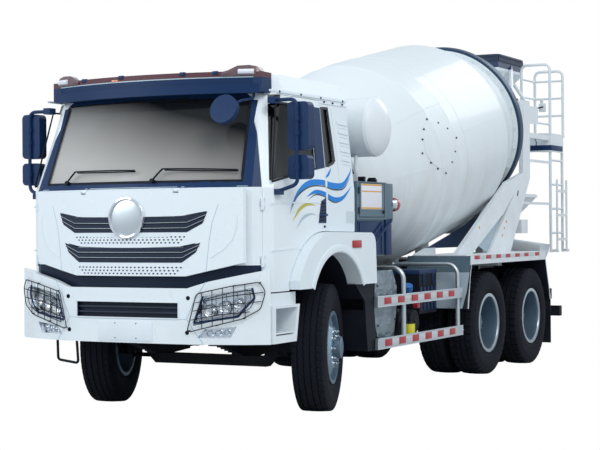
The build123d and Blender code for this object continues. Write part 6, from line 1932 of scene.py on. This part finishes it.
def hopper_ribs(bm):
    """Stiffeners on the hopper's sides and the stays under them."""
    for side in (1, -1):
        for y in (6.28, 6.62):
            rod(bm, at(side * 0.474, y, 3.46), at(side * 0.330, 6.24 + (y - 6.45) * 0.35, 3.12), 0.009, 6)
        rod(bm, at(side * 0.50, 6.520, 3.300), at(side * 0.84, 6.010, 3.012), 0.022, 12)


def upright_plate(bm, x, outline, thick):
    """A plate that stands along the truck: its (y, z) outline at x, made thick across."""
    slab(bm, [at(x, y, z) for y, z in outline], X_AXIS * thick)


def paired_plates(x, outline, thick=0.006):
    """Builds an upright plate on each side of the truck."""
    def made(bm):
        """The left plate and the right one."""
        for side in (1, -1):
            upright_plate(bm, side * x, outline, side * thick)
    return made


GUSSET = ((4.200, 1.336), (4.470, 1.262), (5.310, 1.985), (5.080, 1.830))
# Painted shade: outline of the navy plates that darken the space under the drum
UNDER_DRUM_SHADE = ((3.350, 1.322), (4.450, 1.322), (5.020, 1.750), (4.500, 1.570), (4.000, 1.460), (3.600, 1.375))
DECK_WEDGE = ((2.960, 1.256), (3.600, 1.256), (3.600, 1.327), (3.300, 1.327))


def stand_fold_lines(bm):
    """Folded edges along the stand's legs and columns."""
    for side in (1, -1):
        for y0, z0, y1, z1 in ((3.470, 1.262, 4.935, 1.690), (5.120, 1.262, 5.830, 2.080)):
            rod(bm, at(side * 0.9205, y0, z0), at(side * 0.9205, y1, z1), 0.0028, 6)


def oblong():
    """The outline of the oblong hole in each column, leaning with it."""
    outline = []
    for turn in (2 * pi * k / 20 for k in range(20)):
        rise = 0.017 * sin(turn) + (0.018 if sin(turn) > 0 else -0.018)
        outline.append((5.427 + 0.017 * cos(turn) + rise * 0.35, 1.929 + rise))
    return outline


def stand_labels(bm):
    """The pale backings of the small warning labels on the legs."""
    for outline in (((4.845, 1.425), (4.895, 1.405), (5.060, 1.625), (5.010, 1.645)),
                    ((4.125, 1.450), (4.185, 1.450), (4.185, 1.565), (4.125, 1.565))):
        upright_plate(bm, 0.9195, outline, 0.002)


def stand_signs(bm):
    """Their orange marks, left plain."""
    for y, z in ((5.020, 1.600), (4.950, 1.525), (4.890, 1.445), (4.155, 1.535)):
        corners = ((-0.018, -0.012), (0.016, -0.016), (0.022, 0.014), (-0.012, 0.018))
        upright_plate(bm, 0.9212, [(y + a, z + b) for a, b in corners], 0.0012)


def column_plate(bm):
    """The white plate between the column and the platform, with the rail along it."""
    upright_plate(bm, 0.890, ((5.872, 2.765), (6.244, 2.775), (6.246, 2.992), (5.860, 2.972)), 0.008)
    rod(bm, at(0.880, 5.872, 2.800), at(0.880, 6.690, 2.800), 0.012, 10)


def column_box(bm):
    """The dark grey box on the cross beam behind the ring."""
    block(bm, (0.620, 0.705), (5.935, 6.090), (2.960, 3.085), 0.006)
    tube(bm, [at(0.662, 6.010, 2.965), at(0.680, 6.020, 2.880), at(0.860, 5.930, 2.780)], 0.008, 0.04, 8)


def work_lamp(bm):
    """The dark work lamp under the platform's edge."""
    block(bm, (0.652, 0.927), (6.662, 7.120), (2.480, 2.546), 0.006)
    tube(bm, [at(0.700, 6.668, 2.640), at(0.735, 6.660, 2.600), at(0.730, 6.664, 2.540)], 0.005, 0.03, 6)


def lamp_plates(bm):
    """The white box that carries the lamp."""
    block(bm, (0.642, 0.922), (6.666, 6.672), (2.462, 2.660), 0.002)
    block(bm, (0.914, 0.922), (6.668, 7.140), (2.462, 2.660), 0.002)


def switch_box(bm):
    """The switch box on the platform's front hoop."""
    block(bm, (0.775, 0.862), (6.640, 6.668), (2.955, 3.060), 0.005)
    block(bm, (0.790, 0.828), (6.642, 6.668), (3.064, 3.115), 0.004)


def switch_lever(bm):
    """The lever beside the switch box, with its knob."""
    rod(bm, at(0.835, 6.636, 3.018), at(0.742, 6.615, 2.995), 0.008, 8)
    rod(bm, at(0.756, 6.616, 2.998), at(0.736, 6.612, 2.992), 0.013, 10)


def platform_tread(bm):
    """The pressed bars of the platform's grating."""
    for k in range(9):
        y = 6.700 + 0.062 * k
        block(bm, (0.535, 0.905), (y - 0.006, y + 0.006), (2.6885, 2.6945))
    for k in range(6):
        x = 0.545 + 0.070 * k
        block(bm, (x - 0.003, x + 0.003), (6.690, 7.210), (2.6885, 2.6925))


def funnel_ribs(bm):
    """The discharge funnel's corner beads, and its folded rims at the front and left."""
    top = [(-0.603, 6.178), (0.603, 6.178), (0.603, 7.062), (-0.603, 7.062)]
    low = [(-0.192, 6.558), (0.192, 6.558), (0.192, 6.902), (-0.192, 6.902)]
    for (xa, ya), (xb, yb) in zip(top, low):
        rod(bm, at(xa, ya, 1.925), at(xb, yb, 1.484), 0.0055, 6)
    for (xa, ya), (xb, yb) in zip(top[:2], top[1:]):
        rod(bm, at(xa, ya, 1.928), at(xb, yb, 1.928), 0.010, 8)


TANK_MIDDLE = (1.000, 2.450)


def tank_domes(bm):
    """The dished ends of the water tank."""
    bulge = [(0.0, 0.2675)] + [(0.125 * sin(radians(a)), 0.2675 * cos(radians(a))) for a in range(8, 90, 8)]
    profile = [(a + 1.112, r) for a, r in bulge + [(0.1252, 0.0001)]] + [(1.105, 0.0001), (1.105, 0.2660)]
    for side in (1, -1):
        revolved(bm, profile, at(0, *TANK_MIDDLE), X_AXIS * side, 64)


def tank_bands(bm):
    """The tank's weld seams and saddle straps, its filler neck and drain pipe."""
    for x in (-0.780, 0.780, -0.260, 0.260):
        revolved(bm, [(-0.016, 0.262), (0.016, 0.262), (0.016, 0.2695), (-0.016, 0.2695)], at(x, *TANK_MIDDLE), X_AXIS,
                 56)
    rod(bm, at(0.420, 1.000, 2.705), at(0.420, 1.000, 2.760), 0.060, 24)
    rod(bm, at(0.420, 1.000, 2.758), at(0.420, 1.000, 2.775), 0.068, 24, 0.062)
    rod(bm, at(0.980, 0.900, 2.200), at(0.980, 0.900, 2.060), 0.016, 10)


def tail_lamp_boxes(bm):
    """The left tail lamp's black box on the underrun bar."""
    block(bm, (0.760, 1.100), (6.322, 6.345), (0.470, 0.582), 0.006)


def tail_lens(bm, x):
    """A lens in the left tail lamp."""
    block(bm, (x - 0.050, x + 0.050), (6.340, 6.353), (0.482, 0.570), 0.008)


def turn_lens(bm):
    """The turn signal's lens between the red ones."""
    block(bm, (0.930 - 0.048, 0.930 + 0.048), (6.340, 6.353), (0.482, 0.570), 0.008)


def rear_reflectors(bm):
    """Red tiles along the underrun bar."""
    for k in range(6):
        x = -0.65 + 0.26 * k
        block(bm, (x - 0.055, x + 0.055), (6.328, 6.3325), (0.500, 0.552), 0.001)


def mirror_faces(bm):
    """The mirrors' glass, looking back."""
    for z0, z1 in ((2.190, 2.521), (1.955, 2.105)):
        block(bm, (1.228, 1.372), (-0.746, -0.7425), (z0, z1), 0.001)


def mirror_lips(bm):
    """The mirror housings' ribs and the arm's clamps."""
    for z in (2.300, 2.410):
        rod(bm, at(1.300, -0.860, z - 0.018), at(1.300, -0.860, z + 0.018), 0.022, 14)
    rod(bm, at(1.300, -0.860, 2.010), at(1.300, -0.860, 2.050), 0.022, 14)


new_piece("hopper_collar", hopper_collar, HOPPER_RUBBER)
new_piece("hopper_ribs", hopper_ribs, BODY_PAINT)
new_piece("stand_gussets", paired_plates(0.884, GUSSET), PANEL_BLUE)
# Painted shade: navy plates that darken the space under the drum
new_piece("under_drum_panels", paired_plates(0.625, UNDER_DRUM_SHADE), NAVY_PLASTIC)
new_piece("deck_wedges", paired_plates(0.628, DECK_WEDGE), BODY_PAINT)
new_piece("stand_fold_lines", stand_fold_lines, BODY_PAINT)
new_piece("stand_holes", paired_plates(0.9185, oblong(), 0.0025), BLACK_PLASTIC)
new_piece("stand_labels", stand_labels, LABEL_WHITE)
new_piece("stand_signs", stand_signs, ORANGE_BAND)
new_piece("column_plate", column_plate, BODY_PAINT)
new_piece("column_box", column_box, CAST_METAL)
new_piece("work_lamp", work_lamp, NAVY_PLASTIC)
new_piece("work_lamp_plates", lamp_plates, BODY_PAINT)
new_piece("switch_box", switch_box, BODY_PAINT)
new_piece("switch_lever", switch_lever, BLACK_PLASTIC)
new_piece("platform_tread", platform_tread, BODY_PAINT)
new_piece("funnel_ribs", funnel_ribs, BODY_PAINT)
new_piece("tank_domes", tank_domes, BODY_PAINT)
new_piece("tank_bands", tank_bands, BODY_PAINT)
new_piece("tail_lamp_boxes", for_both(tail_lamp_boxes), BLACK_PLASTIC)
new_piece("tail_lamps", for_both(lambda bm: (tail_lens(bm, 0.820), tail_lens(bm, 1.040))), RED_REFLECTOR)
new_piece("turn_lamps", for_both(turn_lens), AMBER_LENS)
new_piece("underrun_tiles", rear_reflectors, RED_REFLECTOR)
new_piece("mirror_glass", for_both(mirror_faces), MIRROR_GLASS)
new_piece("mirror_clamps", for_both(mirror_lips), NAVY_PLASTIC)


# Bay behind the control cabinet

def side_bay(bm):
    """The deeper bay behind the control cabinet."""
    block(bm, (0.700, 1.0785), (1.338, 1.490), (1.626, 1.952), 0.006)


def side_bay_lower(bm):
    """The navy cover under the bay, with its cable."""
    block(bm, (0.700, 1.0745), (1.338, 1.462), (1.296, 1.625), 0.006)
    tube(bm, [at(1.082, 1.050, 1.400), at(1.088, 1.250, 1.520), at(1.082, 1.440, 1.600), at(1.060, 1.500, 1.640)],
         0.011, 0.10, 8)
    for z in (1.340, 1.400):
        rod(bm, at(1.020, 1.470, z), at(1.020, 1.520, z), 0.028, 16)


new_piece("cabinet_side_bay", side_bay, CABINET_GREY)
new_piece("cabinet_side_bay_lower", side_bay_lower, NAVY_PLASTIC)


# Stage: floor, light and camera

CAMERA = {"place": (6.831, -11.513, 1.562), "yaw": 27.354, "pitch": -0.058, "roll": -0.437, "lens": 91.73}


def set_camera():
    """Stands where the photograph was taken, with its long lens."""
    yaw, pitch, roll = (radians(CAMERA[key]) for key in ("yaw", "pitch", "roll"))
    forward = Vector((-sin(yaw) * cos(pitch), cos(yaw) * cos(pitch), -sin(pitch)))
    level = Vector((cos(yaw), sin(yaw), 0))
    upright = level.cross(forward)
    right = level * cos(roll) + upright * sin(roll)
    up = upright * cos(roll) - level * sin(roll)
    turn = Matrix((right, up, -forward)).transposed().to_4x4()
    data = bpy.data.cameras.new("camera")
    data.lens = CAMERA["lens"]
    data.sensor_width = 36.0
    data.clip_end = 200.0
    camera = bpy.data.objects.new("camera", data)
    camera.matrix_world = Matrix.Translation(at(*CAMERA["place"])) @ turn
    bpy.context.collection.objects.link(camera)
    bpy.context.scene.camera = camera


def seen_as(tree, hidden, shown, seen, output):
    """One shader for the rays that light the truck and another for those that see it."""
    fill(tree, tree.nodes[output], {"Surface": add_node(tree, "ShaderNodeMixShader", {
        "Fac": seen, 1: hidden.outputs[0], 2: shown.outputs[0]}).outputs[0]})


def set_floor():
    """A pale floor that lights the truck from below and shows plain white to the camera."""
    made, tree, shader = start_material("pale floor", specular=0.1)
    clouds = add_node(tree, "ShaderNodeTexNoise", {"Scale": 0.6, "Detail": 2.0}).outputs["Fac"]
    fill(tree, shader, {"Base Color": mixed(tree, clouds, (0.50, 0.51, 0.52), (0.55, 0.555, 0.56)), "Roughness": 0.9})
    rays = add_node(tree, "ShaderNodeLightPath").outputs
    seen_as(tree, shader, add_node(tree, "ShaderNodeEmission"), rays["Is Camera Ray"], "Material Output")
    mesh = bpy.data.meshes.new("floor")
    mesh.from_pydata([(-60, -60, 0), (60, -60, 0), (60, 60, 0), (-60, 60, 0)], [], [(0, 1, 2, 3)])
    floor = bpy.data.objects.new("floor", mesh)
    mesh.materials.append(made)
    bpy.context.collection.objects.link(floor)


def set_world():
    """An even pale sky: white to the camera, softer on the object."""
    world = bpy.data.worlds.new("studio")
    bpy.context.scene.world = world
    world.use_nodes = True
    tree = world.node_tree
    sky = tree.nodes["Background"]
    fill(tree, sky, {"Color": (0.86, 0.93, 1.0, 1), "Strength": 0.80})
    white = add_node(tree, "ShaderNodeBackground", {"Color": (1, 1, 1, 1), "Strength": 1.0})
    rays = add_node(tree, "ShaderNodeLightPath").outputs
    either = math_node(tree, "MAXIMUM", rays["Is Camera Ray"], rays["Is Transmission Ray"])
    seen_as(tree, sky, white, either, "World Output")


def set_lamp(name, place, target, size, power, colour):
    """A large soft lamp that faces a place on the truck."""
    data = bpy.data.lights.new(name, "AREA")
    data.shape = "DISK"
    data.size = size
    data.energy = power
    data.color = colour
    lamp = bpy.data.objects.new(name, data)
    start, end = Vector(place), Vector(target)
    lamp.matrix_world = Matrix.Translation(start) @ (end - start).to_track_quat("-Z", "Y").to_matrix().to_4x4()
    bpy.context.collection.objects.link(lamp)


set_camera()
set_floor()
set_world()
set_lamp("key lamp", (9.0, -9.0, 11.0), (0, 0, 1.5), 7.0, 700.0, (1.0, 0.98, 0.95))
set_lamp("front fill lamp", (-7.0, -12.0, 6.0), (0, -2, 1.5), 6.0, 400.0, (0.93, 0.97, 1.0))
set_lamp("back lamp", (3.0, 13.0, 9.0), (0, 1, 2), 7.0, 300.0, (0.96, 0.98, 1.0))
bpy.context.scene.view_settings.view_transform = "Standard"
